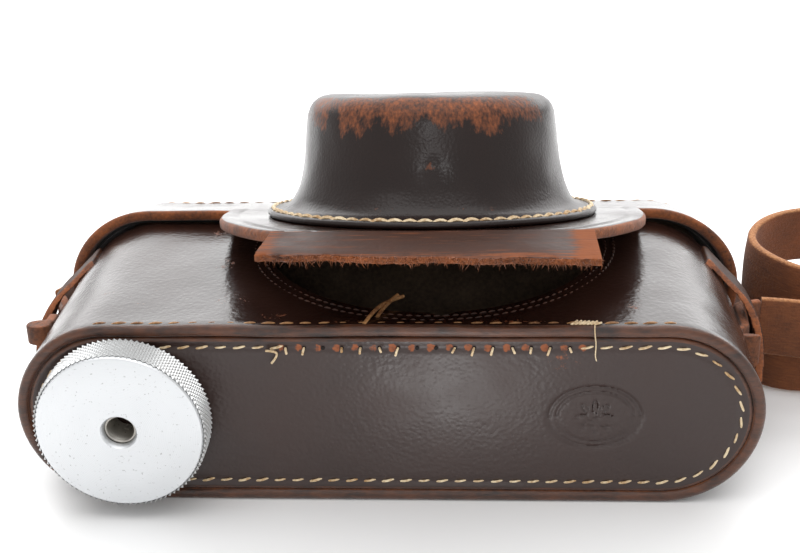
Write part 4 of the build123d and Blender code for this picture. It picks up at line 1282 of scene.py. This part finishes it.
@dataclass
class Cover:
    """The top cover: its shell, top panel, front flap with the torn tongue, and the snout."""

    finishes: Finishes
    stitches: bpy.types.NodeTree
    fray: bpy.types.NodeTree
    tilt: float = math.radians(16)
    snout_at: tuple[float, float, float] = (8.1, 17.26, 45.45)
    flap_radius: float = 46.0
    flap_hole: float = 29.0
    seam_radius: float = 34.4
    tongue_start: float = -36.5
    tongue_tilt: float = math.radians(6)
    tongue_left: float = -29.6
    tongue_right: float = 32.4
    tongue_short: float = 14.4
    tongue_long: float = 17.6
    tube: RoundEnded = RoundEnded(155.6, 42.9, 150.0, 35.0, 25.0, 51.0, back_y=29.5)

    def place(self, local: np.ndarray) -> np.ndarray:
        """Turn points on the tilted flap's own axes to the case's."""
        turn = np.array(Matrix.Rotation(-self.tilt, 3, "X"))
        return local @ turn.T + np.array(self.snout_at)

    def shell(self) -> None:
        """Build the cover's wall with the snout's hole and its edges."""
        fin = self.finishes
        finish = [fin.hide, fin.raw_edge, fin.edge, fin.flesh]
        piece = self.tube.shell("cover_hide", LEATHER, 0.9, 1.5, finish, 0.25, 12.5)
        sides = 64
        turn = np.linspace(0, 2 * math.pi, sides, endpoint=False)
        ring = self.place(np.array([(self.flap_hole * math.cos(a), self.flap_hole * math.sin(a), z)
                                    for z in (-12, 6) for a in turn]))
        faces = [tuple(range(sides)), tuple(range(sides, 2 * sides))]
        faces += grid_faces(2, sides, round_columns=True)
        hole = make_piece("cutter", ring, faces, finish, [1] * len(faces))
        cut(piece, [hole, notch_cutter(27.5, 40.2, LEATHER + 1.2, 1, finish)])
        x, y, z = places_of(piece).T
        wear = 0.5 * smooth_step(y, 49.4, 50.8)
        wear = np.maximum(wear, 0.35 * smooth_step(np.abs(x), 66, 77))
        set_value(piece, "wear", wear)
        shade(piece, 50)
        settle(piece, Body.COVER, Slot.HIDE, "cover_wall")

    def top(self) -> None:
        """Build the top panel, its seam and the row along the front's far edge."""
        fin = self.finishes

        def relief(points: np.ndarray) -> np.ndarray:
            """Give the panel's slow swell and the furrow of its seam."""
            half = 57.5
            depth = 17.5 - np.hypot(np.maximum(np.abs(points[:, 0]) - half, 0), points[:, 2] - 17.5)
            swell = ripple(points, 18.0, 31.0) * 0.2 * smooth_step(depth, 3.0, 9.0)
            return swell - 0.3 * np.exp(-((depth - SEAM_INSET) / 0.75) ** 2)

        face = 51.0 - PANEL_INSET
        flat = RoundEnded(150.0, 35.0, 150.0, 35.0, 25.0, 51.0)
        piece = flat.plate("top_panel_hide", face, 1, LEATHER + 0.15, LEATHER, 0.7,
                           [fin.panel_hide, fin.edge], relief)
        set_value(piece, "wear", 0.15)
        settle(piece, Body.COVER, Slot.HIDE, "top_panel")
        lines = flat.seam_line(SEAM_INSET, face - 0.25)
        piece = Seam("top_seam", lines, (0, 1, 0), length=3.1, slant=0.2, seed=14).build(self.stitches,
                                                                                         fin.thread)
        settle(piece, Body.COVER, Slot.THREAD, "top_seam_thread")
        station = self.tube.stations(1.0)
        front = station[(station[:, 1] > 0.6) & (station[:, 1] < math.pi - 0.6)]
        front = front[(front[:, 0] > -0.99) | (front[:, 1] > 1.5)]
        row = self.tube.at(front, -0.05, np.full(len(front), 49.0))
        piece = Seam("cover_wall_seam", [[tuple(p) for p in row]], (0, 0, 1), length=2.7, thickness=0.4,
                     rise=0.12, slant=0.1, seed=6).build(self.stitches, fin.tan_thread)
        settle(piece, Body.COVER, Slot.THREAD)

    def flap(self) -> None:
        """Build the front flap that carries the snout, with its creased rim."""
        fin = self.finishes
        turn = np.radians(np.linspace(180, 360, 150))
        back = np.array([9.6, 7.0, 4.0])
        inner = [(-self.flap_hole, b) for b in back] + [
            (self.flap_hole * math.cos(a), self.flap_hole * math.sin(a)) for a in turn] + [
            (self.flap_hole, b) for b in back[::-1]]
        outer = [(-self.flap_radius, b) for b in back]
        outer += [(self.flap_radius * math.cos(a),
                   max(self.flap_radius * math.sin(a), self.tongue_start - 0.4))
                  for a in turn]
        outer += [(self.flap_radius, b) for b in back[::-1]]
        inner_points, outer_points = np.array(inner), np.array(outer)
        rounding = 0.9
        rows: list[tuple[float, float, float, int]] = [(k / 24, 0.0, 0.0, 0) for k in range(25)]
        bend = np.linspace(0, math.pi / 2, 5)[1:]
        rows += [(1.0, rounding * math.sin(a), -rounding * (1 - math.cos(a)), 1) for a in bend]
        rows += [(1.0, rounding * math.cos(a), -LEATHER + rounding * (1 - math.sin(a)), 1) for a in bend]
        rows += [(k / 12, 0.0, -LEATHER, 2) for k in range(11, -1, -1)]
        points, choice = [], []
        for share, out, height, finish in rows:
            span = outer_points - inner_points
            wide = np.linalg.norm(span, axis=1)[:, None]
            spot = inner_points + span * ((wide - rounding) / wide * share) + span / wide * out
            points.append(np.concatenate([spot, np.full((len(spot), 1), height)], 1))
            choice += [finish] * (len(spot) - 1)
        local = np.concatenate(points)
        radial = np.hypot(local[:, 0], local[:, 1])
        top = local[:, 2] > -0.9
        side = np.maximum(radial, np.abs(local[:, 0]))
        crease = np.exp(-((side - (self.flap_radius - 3.4)) / 0.45) ** 2)
        local[:, 2] += np.where(top, -0.28 * crease, 0.0)
        local[:, 2] += ripple(local, 15.0, 41.0) * 0.35 * smooth_step(side, 36, 42)
        local[:, 0] += np.where(side > 44.5, ripple(local, 2.2, 17.0) * 0.12, 0.0)
        count = len(inner)
        faces = grid_faces(len(rows), count, True, False)
        choice += [2] * (count - 1)
        ends = [tuple(range(0, len(rows) * count, count)), tuple(range(count - 1, len(rows) * count, count))]
        piece = make_piece("front_flap_hide", self.place(local), [*faces, *ends],
                           [fin.hide, fin.raw_edge, fin.flesh], [*choice, 1, 1], merge=0.01, sharp=45)
        wear = 0.5 * smooth_step(np.hypot(*(self.unplace(places_of(piece))[:, :2]).T), 45.0, 46.0)
        set_value(piece, "wear", wear)
        settle(piece, Body.COVER, Slot.HIDE, "front_flap")

    def unplace(self, points: np.ndarray) -> np.ndarray:
        """Turn points on the case's axes to the tilted flap's own."""
        turn = np.array(Matrix.Rotation(-self.tilt, 3, "X"))
        return (points - np.array(self.snout_at)) @ turn

    def tongue(self) -> None:
        """Build the stub of the front tongue with its torn, fibrous edge."""
        fin = self.finishes
        start = self.place(np.array([[0.0, self.tongue_start, 0.0]]))[0]
        along = np.linspace(self.tongue_left, self.tongue_right, 170)
        growth = (self.tongue_long - self.tongue_short) / (self.tongue_right - self.tongue_left)
        tear = self.tongue_short + growth * (along - self.tongue_left)
        dice = np.array([noise.noise(Vector((a / 1.1, 3.3, 0))) * 0.5
                         + noise.noise(Vector((a / 5.0, 8.3, 0))) * 0.7
                         + noise.noise(Vector((a / 0.4, 1.3, 0))) * 0.22 for a in along])
        tear = tear + dice
        # Each row is its share of the way to the tear, its height and its finish.
        rows: list[tuple[float, float, int]] = [(k / 16, 0.0, 0) for k in range(17)]
        rows += [(1.0, -0.35, 1), (1.0, -0.75, 1), (1.0, -1.15, 1)]
        rows += [(k / 10, -LEATHER + 0.09 * k, 2) for k in range(10, -1, -1)]
        rows += [(0.0, -1.2, 2)]
        points, choice = [], []
        for share, height, finish in rows:
            y = 1.6 - (tear + 1.6) * share
            if share == 1.0:
                rag = np.array([noise.noise(Vector((a / 0.7, height * 2.1, 5.0))) for a in along])
                y = y + rag * 0.45 - 0.35 * (height / LEATHER)
            x = along - 1.1 * share * smooth_step(-along, 22, -self.tongue_left)
            z = height - 0.19 * np.maximum(y, 0.0)
            if finish == 0:
                grain = np.array([noise.noise(Vector((a / 16, y0 / 0.9, 2.0))) for a, y0 in zip(along, y)])
                z = z + grain * 0.14 - 0.25 * smooth_step(share, 0.85, 1.0)
            z = z + 0.35 * np.array([noise.noise(Vector((a / 13, share * 2, 7.0))) for a in along]) * share
            points.append(np.stack([x, y, z], 1))
            choice += [finish] * (len(along) - 1)
        local = np.concatenate(points)
        turn = np.array(Matrix.Rotation(-self.tongue_tilt, 3, "X"))
        placed = local @ turn.T + start
        faces = grid_faces(len(rows), len(along), True, False)
        count = len(along)
        ends = [tuple(range(0, len(rows) * count, count)), tuple(range(count - 1, len(rows) * count, count))]
        piece = make_piece("torn_tongue", placed, [*faces, *ends], [fin.tongue_hide, fin.raw_edge, fin.flesh],
                           [*choice, 1, 1], merge=0.01, sharp=60)
        own = (places_of(piece) - start) @ turn
        wear = 0.37 + 0.28 * smooth_step(own[:, 0], 26.0, 30.5) + 0.15 * smooth_step(-own[:, 0], 26, 29.5)
        wear = wear + 0.12 * smooth_step(-own[:, 1], 12.5, 15.5)
        set_value(piece, "wear", wear)
        settle(piece, Body.COVER, Slot.SUEDE, "front_flap")
        edge = []
        for depth in (-0.3, -0.8, -1.3):
            line = np.stack([along, -tear + 0.2, np.full(len(along), depth)], 1) @ turn.T + start
            edge.append([tuple(p) for p in line])
        fringe = grow(line_object("tongue_fibres", edge), self.fray, {
            "Spacing": 0.24 * MM, "Length": 1.5 * MM, "Thickness": 0.09 * MM, "Spread": 0.9, "Seed": 4,
            "Way": (0.0, -1.0, -0.25), "Finish": fin.raw_edge})
        settle(fringe, Body.COVER, Slot.SUEDE)

    def snout(self) -> None:
        """Build the moulded snout, its flange and the stitches that hold it."""
        fin = self.finishes
        profile = [(29.0, -0.2), (33.0, -0.1), (35.2, 0.1), (35.6, 0.6), (35.5, 1.2), (35.0, 1.55),
                   (33.6, 1.7),
                   (32.2, 1.85), (31.0, 2.4), (30.1, 3.6), (29.4, 5.0), (28.75, 6.6), (28.3, 8.3),
                   (27.95, 10.2),
                   (27.65, 12.4), (27.4, 15.0), (27.2, 17.6), (27.0, 19.4), (26.85, 20.8), (26.6, 22.0),
                   (26.1, 23.2), (25.4, 24.2), (24.4, 25.0), (23.3, 25.5), (22.2, 25.7)]
        profile += [(22.2 * (1 - k / 16), 25.7) for k in range(1, 16)] + [(0.0, 25.7)]
        fine: list[tuple[float, float]] = []
        for (r0, h0), (r1, h1) in zip(profile, profile[1:]):
            fine += [(r0, h0), ((r0 + r1) / 2, (h0 + h1) / 2)]
        fine.append(profile[-1])
        inner = [(0.0, 23.7), (8.0, 23.7), (16.0, 23.7), (22.0, 23.7), (24.6, 21.5), (25.2, 15.0),
                 (26.4, 8.0),
                 (29.0, -0.2)]
        steps = 220
        turn = np.linspace(0, 2 * math.pi, steps, endpoint=False)
        rings = [np.stack([r * np.cos(turn), r * np.sin(turn), np.full(steps, h)], 1) for r,
                 h in fine + inner]
        local = np.concatenate(rings)
        outside = np.arange(len(local)) < len(fine) * steps
        radius = np.hypot(local[:, 0], local[:, 1])
        way = local[:, :2] / np.maximum(radius, 1e-6)[:, None]
        body = smooth_step(local[:, 2], 2.5, 7.0) * outside
        swell = (ripple(local, 15.0, 51.0) * 0.45
                 + ripple(local, 5.0, 52.0) * 0.1) * body * smooth_step(radius, 8, 24)
        # A shallow fold across the front and a round dent under it.
        angle = np.arctan2(local[:, 1], local[:, 0]) + math.pi / 2
        fold = np.exp(-((local[:, 2] - 15.6 - 2.2 * angle) / 0.55) ** 2) * np.exp(-(angle / 0.33) ** 2)
        dent = np.exp(-(((angle - 0.05) * 28 / 1.8) ** 2 + ((local[:, 2] - 11.6) / 1.8) ** 2))
        swell = swell - (0.22 * fold + 0.35 * dent) * outside
        local[:, :2] += way * swell[:, None]
        local[:, 2] += np.where(outside & (local[:, 2] > 20), ripple(local, 14.0, 55.0) * 0.3, 0.0)
        faces = grid_faces(len(fine) + len(inner), steps, True, True)
        choice = [0] * (len(fine) - 1) * steps + [1] * (len(inner) + 1) * steps
        piece = make_piece("snout_hide", self.place(local), faces, [fin.snout_hide, fin.flesh], choice,
                           merge=0.02,
                           sharp=55)
        own = self.unplace(places_of(piece))
        facing = np.abs(np.arctan2(own[:, 0], -own[:, 1]) + 0.12)
        rag = ripple(np.stack([own[:, 0], own[:, 1], own[:, 2] * 0.2], 1), 2.6, 61.0)
        side = np.arctan2(own[:, 0], -own[:, 1])
        patches = ripple(np.stack([side * 27, own[:, 2] * 0.8, 0 * side], 1), 6.0, 83.0)
        wear = 0.6 * smooth_step(own[:, 2] + 2.6 * rag + 3.0 * patches, 14.5, 22.5)
        wear = wear * (1 - 0.6 * smooth_step(facing, 0.9, 1.5)) * (1
                                                                   - 0.5 * smooth_step(own[:, 2], 24.9, 25.6))
        spot = np.hypot((side - 0.03) * 28 / 1.3, (own[:, 2] - 11.4) / 1.3)
        wear = np.maximum(wear, 0.6 * (1 - smooth_step(spot, 0.6, 1.3)))
        low = np.exp(-((own[:, 2] - 3.4) / 0.7) ** 2) * (np.abs(side + 0.05) < 0.75)
        wear = np.maximum(wear, 0.42 * low)
        set_value(piece, "wear", wear)
        settle(piece, Body.COVER, Slot.HIDE, "snout")
        ring = self.place(np.array([(self.seam_radius * math.cos(a), self.seam_radius * math.sin(a), 1.72)
                                    for a in np.linspace(0, 2 * math.pi, 181)]))
        up = (0.0, math.sin(self.tilt), math.cos(self.tilt))
        piece = Seam("snout_seam", [[tuple(p) for p in ring]], up, pitch=3.0, length=3.3, thickness=0.85,
                     rise=0.75,
                     slant=0.12, seed=9).build(self.stitches, fin.thread)
        settle(piece, Body.COVER, Slot.THREAD, "snout_thread")

    def build(self) -> None:
        """Build the cover."""
        self.shell()
        self.top()
        self.flap()
        self.tongue()
        self.snout()


@dataclass
class FixingScrew:
    """The knurled knob and the steel screw through it, on the axis at x, z."""

    finishes: Finishes
    knurl: bpy.types.NodeTree
    x: float = -51.4
    z: float = 20.4
    front: float = -34.8
    thickness: float = 7.5
    knurl_radius: float = 16.62
    screw_radius: float = 4.76
    waist_radius: float = 3.8
    socket_radius: float = 2.55
    thread_depth: float = 0.45
    # Where the waist and the thread begin and where the screw ends, along Y.
    waist_start: float = -27.3
    thread_start: float = -15.8
    end: float = -8.8

    def lathe(self, name: str, profile: Sequence[tuple[float, float]], steps: int,
              materials: Sequence[bpy.types.Material], sharp: float = 30) -> bpy.types.Object:
        """Turn a closed profile of radius and y about the screw's axis."""
        turn = np.linspace(0, 2 * math.pi, steps, endpoint=False)
        rings = [np.stack([self.x + r * np.cos(turn), np.full(steps, y), self.z + r * np.sin(turn)], 1)
                 for r, y in profile]
        return make_piece(name, np.concatenate(rings), grid_faces(len(profile), steps, True, True), materials,
                          merge=0.005, sharp=sharp)

    def knob(self) -> None:
        """Build the knob's turned body and its diamond knurl."""
        fin = self.finishes
        front, back = self.front, self.front + self.thickness
        profile = [(3.4, front + 0.25), (3.65, front), (9.0, front), (15.9, front), (16.25, front + 0.12),
                   (16.5, front + 0.45), (16.5, back - 0.5), (16.1, back), (9.0, back),
                   (self.screw_radius, back), (self.screw_radius, front + 1.4), (3.1, front + 1.2)]
        piece = self.lathe("knob_body", profile, 128, [fin.aluminium])
        settle(piece, Body.KNOB, Slot.KNOB, "knob")
        holder = line_object("knob_knurl", [[(0, 0, 0), (0, 0, 1)]])
        band = self.thickness - 1.0
        piece = grow(holder, self.knurl,
                     {"Radius": self.knurl_radius * MM, "Height": band * MM, "Columns": 96, "Rows": 12,
                      "Depth": 0.55 * MM, "Finish": fin.knurled})
        turn = Matrix.Rotation(-math.pi / 2, 4, "X")
        piece.data.transform(Matrix.Translation((self.x * MM, (front + 0.5) * MM, self.z * MM)) @ turn)
        shade(piece, 5)
        settle(piece, Body.KNOB, Slot.KNOB)

    def screw(self) -> None:
        """Build the screw with its tapped socket and its own thread as fine grooves."""
        front = self.front + 1.4
        full, waist = self.screw_radius, self.waist_radius
        socket = [(self.socket_radius + (0.28 if k % 2 else 0.0), front + 0.3 + 0.42 * k) for k in range(20)]
        thread = [(full - (self.thread_depth if k % 2 else 0.0), self.thread_start + 0.4 + 0.4 * k)
                  for k in range(14)]
        profile = [(0.0, front + 9.0), (2.4, front + 9.0), *socket[::-1], (2.75, front), (full, front),
                   (full, self.waist_start), (waist, self.waist_start), (waist, self.thread_start),
                   *thread, (3.96, self.end), (0.0, self.end)]
        piece = self.lathe("fixing_screw_steel", profile, 48, [self.finishes.steel])
        settle(piece, Body.KNOB, Slot.STEEL, "fixing_screw")

    def build(self) -> None:
        """Build the screw and its knob."""
        self.knob()
        self.screw()


@dataclass
class NeckStrap:
    """The flat neck strap, one loop from the right keeper to the left one, loose on the table."""

    finishes: Finishes
    width: float = 13.5
    thickness: float = 2.0
    length: float = 0.89

    def route(self) -> list[tuple[float, float, float]]:
        """Give the strap's control points in metres."""
        return [
            (0.0805, 0.0170, 0.0180), (0.0970, 0.0154, 0.0175), (0.1150, 0.0020, 0.0160),
            (0.1300, -0.0250, 0.0130), (0.1570, -0.0390, 0.0080), (0.1820, -0.0250, 0.0070),
            (0.1900, 0.0080, 0.0070), (0.1890, 0.0480, 0.0070), (0.1780, 0.0820, 0.0080),
            (0.1500, 0.0940, 0.0130), (0.1260, 0.0760, 0.0200), (0.1070, 0.0550, 0.0250),
            (0.0880, 0.0504, 0.0255), (0.0795, 0.0370, 0.0240), (0.0880, 0.0240, 0.0225),
            (0.1060, 0.0250, 0.0190), (0.1270, 0.0420, 0.0130), (0.1480, 0.0580, 0.0080),
            (0.1680, 0.0480, 0.0070), (0.1740, 0.0180, 0.0070), (0.1680, -0.0120, 0.0070),
            (0.1470, -0.0240, 0.0070), (0.1300, -0.0100, 0.0070), (0.1200, 0.0080, 0.0070),
            (0.1040, 0.0186, 0.0070), (0.0800, 0.0204, 0.0070), (0.0808, 0.0500, 0.0070),
            (0.0760, 0.0740, 0.0070), (0.0560, 0.0880, 0.0070), (0.0380, 0.1040, 0.0070),
            (0.0080, 0.1080, 0.0070), (-0.0220, 0.1040, 0.0070), (-0.0420, 0.0880, 0.0070),
            (-0.0620, 0.0780, 0.0070), (-0.0795, 0.0560, 0.0080), (-0.0800, 0.0360, 0.0130),
            (-0.0778, 0.0200, 0.0185)]

    def centreline(self) -> np.ndarray:
        """Give close points along the strap's own spline, in metres."""
        curve = bpy.data.curves.new("strap_line", "CURVE")
        curve.dimensions = "3D"
        curve.resolution_u = 14
        spline = curve.splines.new("NURBS")
        points = self.route()
        spline.points.add(len(points) - 1)
        for knot, place in zip(spline.points, points):
            knot.co = (*place, 1.0)
        spline.order_u = 3
        spline.use_endpoint_u = True
        holder = bpy.data.objects.new("strap_line", curve)
        mesh = bpy.data.meshes.new_from_object(holder)
        line = np.array([v.co[:] for v in mesh.vertices])
        bpy.data.objects.remove(holder)
        bpy.data.meshes.remove(mesh)
        return line

    def build(self) -> None:
        line = self.centreline() / MM
        ahead = np.gradient(line, axis=0)
        ahead /= np.linalg.norm(ahead, axis=1)[:, None]
        reach = np.concatenate([[0.0], np.cumsum(np.linalg.norm(np.diff(line, axis=0), axis=1))])
        up = np.tile([0.0, 0.0, 1.0], (len(line), 1))
        lean = 0.10 * np.sin(reach / 37.0) + 0.05 * np.sin(reach / 13.0)
        up[:, 0] += -ahead[:, 1] * lean
        up[:, 1] += ahead[:, 0] * lean
        up -= ahead * np.sum(up * ahead, axis=1)[:, None]
        up /= np.linalg.norm(up, axis=1)[:, None]
        side = np.cross(ahead, up)
        half, thick, corner = self.width / 2, self.thickness / 2, 0.55
        section: list[tuple[float, float, float]] = []
        for face in (1, -1):
            for k in range(11):
                section.append((face * (-1 + 0.2 * k) * (half - corner), face * thick, 0.0))
            section.append((face * (half - corner * 0.3), face * (thick - corner * 0.3), 0.8))
            section.append((face * half, face * (thick - corner), 1.0))
            section.append((face * half, -face * (thick - corner), 1.0))
            section.append((face * (half - corner * 0.3), -face * (thick - corner * 0.3), 0.8))
        rings = []
        for across, out, _ in section:
            cup = 0.22 * (1 - (across / half) ** 2)
            rings.append(line + up * across + side * (out + cup))
        points = np.stack(rings, 1).reshape(-1, 3)
        points += ripple(points, 9.0, 71.0)[:, None] * 0.12 * np.repeat(side, len(section), axis=0)
        points[:, 2] = np.maximum(points[:, 2], 0.05)
        count = len(section)
        faces = grid_faces(len(line), count, False, True)
        faces += [tuple(range(count)), tuple(range((len(line) - 1) * count, len(line) * count))]
        piece = make_piece("neck_strap_hide", points, faces, [self.finishes.strap], sharp=60)
        set_value(piece, "along", np.repeat(reach, count))
        set_value(piece, "across", np.tile([s[0] for s in section], len(line)))
        set_value(piece, "edge", np.tile([s[2] for s in section], len(line)))
        settle(piece, Body.HALF_CASE, Slot.STRAP, "neck_strap")


@dataclass
class BackFlap:
    """The flap behind the case that the press stud closes, and its root on the cover."""

    finishes: Finishes

    def build(self) -> None:
        """Round the flap, its root and the stud's patch."""
        fin = self.finishes
        for node, body, finish in (("back_flap", Body.BACK_FLAP, [fin.hide, fin.raw_edge]),
                                   ("back_flap_root", Body.COVER, [fin.hide, fin.raw_edge]),
                                   ("stud_patch", Body.HALF_CASE, [fin.flesh, fin.raw_edge])):
            piece = softened(node, f"{node}_hide", 0.3, 3, [finish[0]])
            for extra in finish[1:]:
                piece.data.materials.append(extra)
            for face in piece.data.polygons:
                face.material_index = int(abs(face.normal.z) < 0.6)
            set_value(piece, "wear", 0.32)
            settle(piece, body, Slot.HIDE, node)


def dress_frame(frame: dict, finishes: Finishes) -> None:
    """Give the frame nodes that stay in sight their finishes."""
    wanted = {
        "half_case_lining": finishes.lining, "bottom_lining": finishes.lining,
        "cover_lining": finishes.lining,
        "snout_lining": finishes.lining, "opening_facing": finishes.flesh, "bottom_board": finishes.board,
        "top_board": finishes.board, "screw_eyelet": finishes.brass, "captive_washer": finishes.brass,
        "stud_cap": finishes.brass, "stud_post": finishes.steel}
    for name, finish in wanted.items():
        node = frame["nodes"][name]
        node.data.materials.clear()
        node.data.materials.append(finish)
        for face in node.data.polygons:
            face.material_index = 0
        log.info("%s dressed", name)


# ---- the studio -------------------------------------------------------------
@dataclass
class Studio:
    """A white table, soft light and the camera."""

    eye: tuple[float, float, float] = (0.019616, -0.259176, 0.155389)
    pitch: float = 0.425
    yaw: float = -0.0684
    roll: float = -0.0307
    focal: float = 61.239

    def camera(self) -> None:
        """Set the camera."""
        lens = bpy.data.cameras.new("camera")
        lens.lens = self.focal
        lens.sensor_width = 36.0
        lens.clip_start = 0.01
        lens.clip_end = 20.0
        holder = bpy.data.objects.new("camera", lens)
        ahead = Vector((math.sin(self.yaw) * math.cos(self.pitch), math.cos(self.yaw) * math.cos(self.pitch),
                        -math.sin(self.pitch)))
        right = Vector((math.cos(self.yaw), -math.sin(self.yaw), 0.0))
        above = right.cross(ahead)
        cosine, sine = math.cos(self.roll), math.sin(self.roll)
        across = right * cosine + above * sine
        upward = above * cosine - right * sine
        turn = Matrix((across, upward, -ahead)).transposed().to_4x4()
        holder.matrix_world = Matrix.Translation(self.eye) @ turn
        bpy.context.scene.collection.objects.link(holder)
        bpy.context.scene.camera = holder

    def panel_light(self, name: str, place: tuple[float, float, float], aim: tuple[float, float, float],
                    size: tuple[float, float], radiance: float) -> None:
        """Hang a soft rectangular light that shines on a point."""
        lamp = bpy.data.lights.new(name, "AREA")
        lamp.shape = "RECTANGLE"
        lamp.size, lamp.size_y = size
        lamp.energy = radiance * math.pi * size[0] * size[1]
        holder = bpy.data.objects.new(name, lamp)
        holder.location = place
        holder.rotation_euler = (Vector(aim) - Vector(place)).to_track_quat("-Z", "Y").to_euler()
        bpy.context.scene.collection.objects.link(holder)

    def build(self) -> None:
        """Set the table, the lights and the camera."""
        world = bpy.data.worlds.new("soft_white_room")
        world.use_nodes = True
        sky = world.node_tree.nodes["Background"]
        sky.inputs["Color"].default_value = (1.0, 1.0, 1.0, 1.0)
        sky.inputs["Strength"].default_value = 0.85
        bpy.context.scene.world = world
        material, _, shader = new_material("white_table")
        shader.inputs["Base Color"].default_value = colour("#f6f6f6")
        shader.inputs["Roughness"].default_value = 0.35
        table = make_piece("table",
                           np.array([(-4000, -4000, 0), (4000, -4000, 0), (4000, 4000, 0), (-4000, 4000, 0)]),
                           [(0, 1, 2, 3)], [material])
        self.panel_light("back_light", (0.0, 0.75, 0.52), (0.0, 0.0, 0.05), (2.4, 0.9), 2.6)
        self.panel_light("top_light", (0.0, -0.1, 1.3), (0.0, 0.0, 0.0), (1.6, 1.2), 1.5)
        self.panel_light("front_light", (0.03, -0.95, 0.5), (0.0, 0.0, 0.05), (0.14, 0.14), 11.0)
        self.panel_light("table_card", (0.0125, -0.075, 0.001), (0.0125, -0.070, 0.3), (0.03, 0.03), 5.0)
        scene = bpy.context.scene
        scene.view_settings.view_transform = "Standard"
        self.camera()


def main(frame: dict) -> None:
    """Build every sub-assembly in order."""
    logging.basicConfig(level=logging.INFO, format="%(message)s")
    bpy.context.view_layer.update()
    finishes = Finishes()
    stitches, knurl, fray = stitch_tree(), knurl_tree(), fray_tree()
    Studio().build()
    NeckStrap(finishes).build()
    HalfCase(finishes, stitches).build()
    Cover(finishes, stitches, fray).build()
    FixingScrew(finishes, knurl).build()
    BackFlap(finishes).build()
    dress_frame(frame, finishes)


if __name__ == "__main__":
    main(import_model())
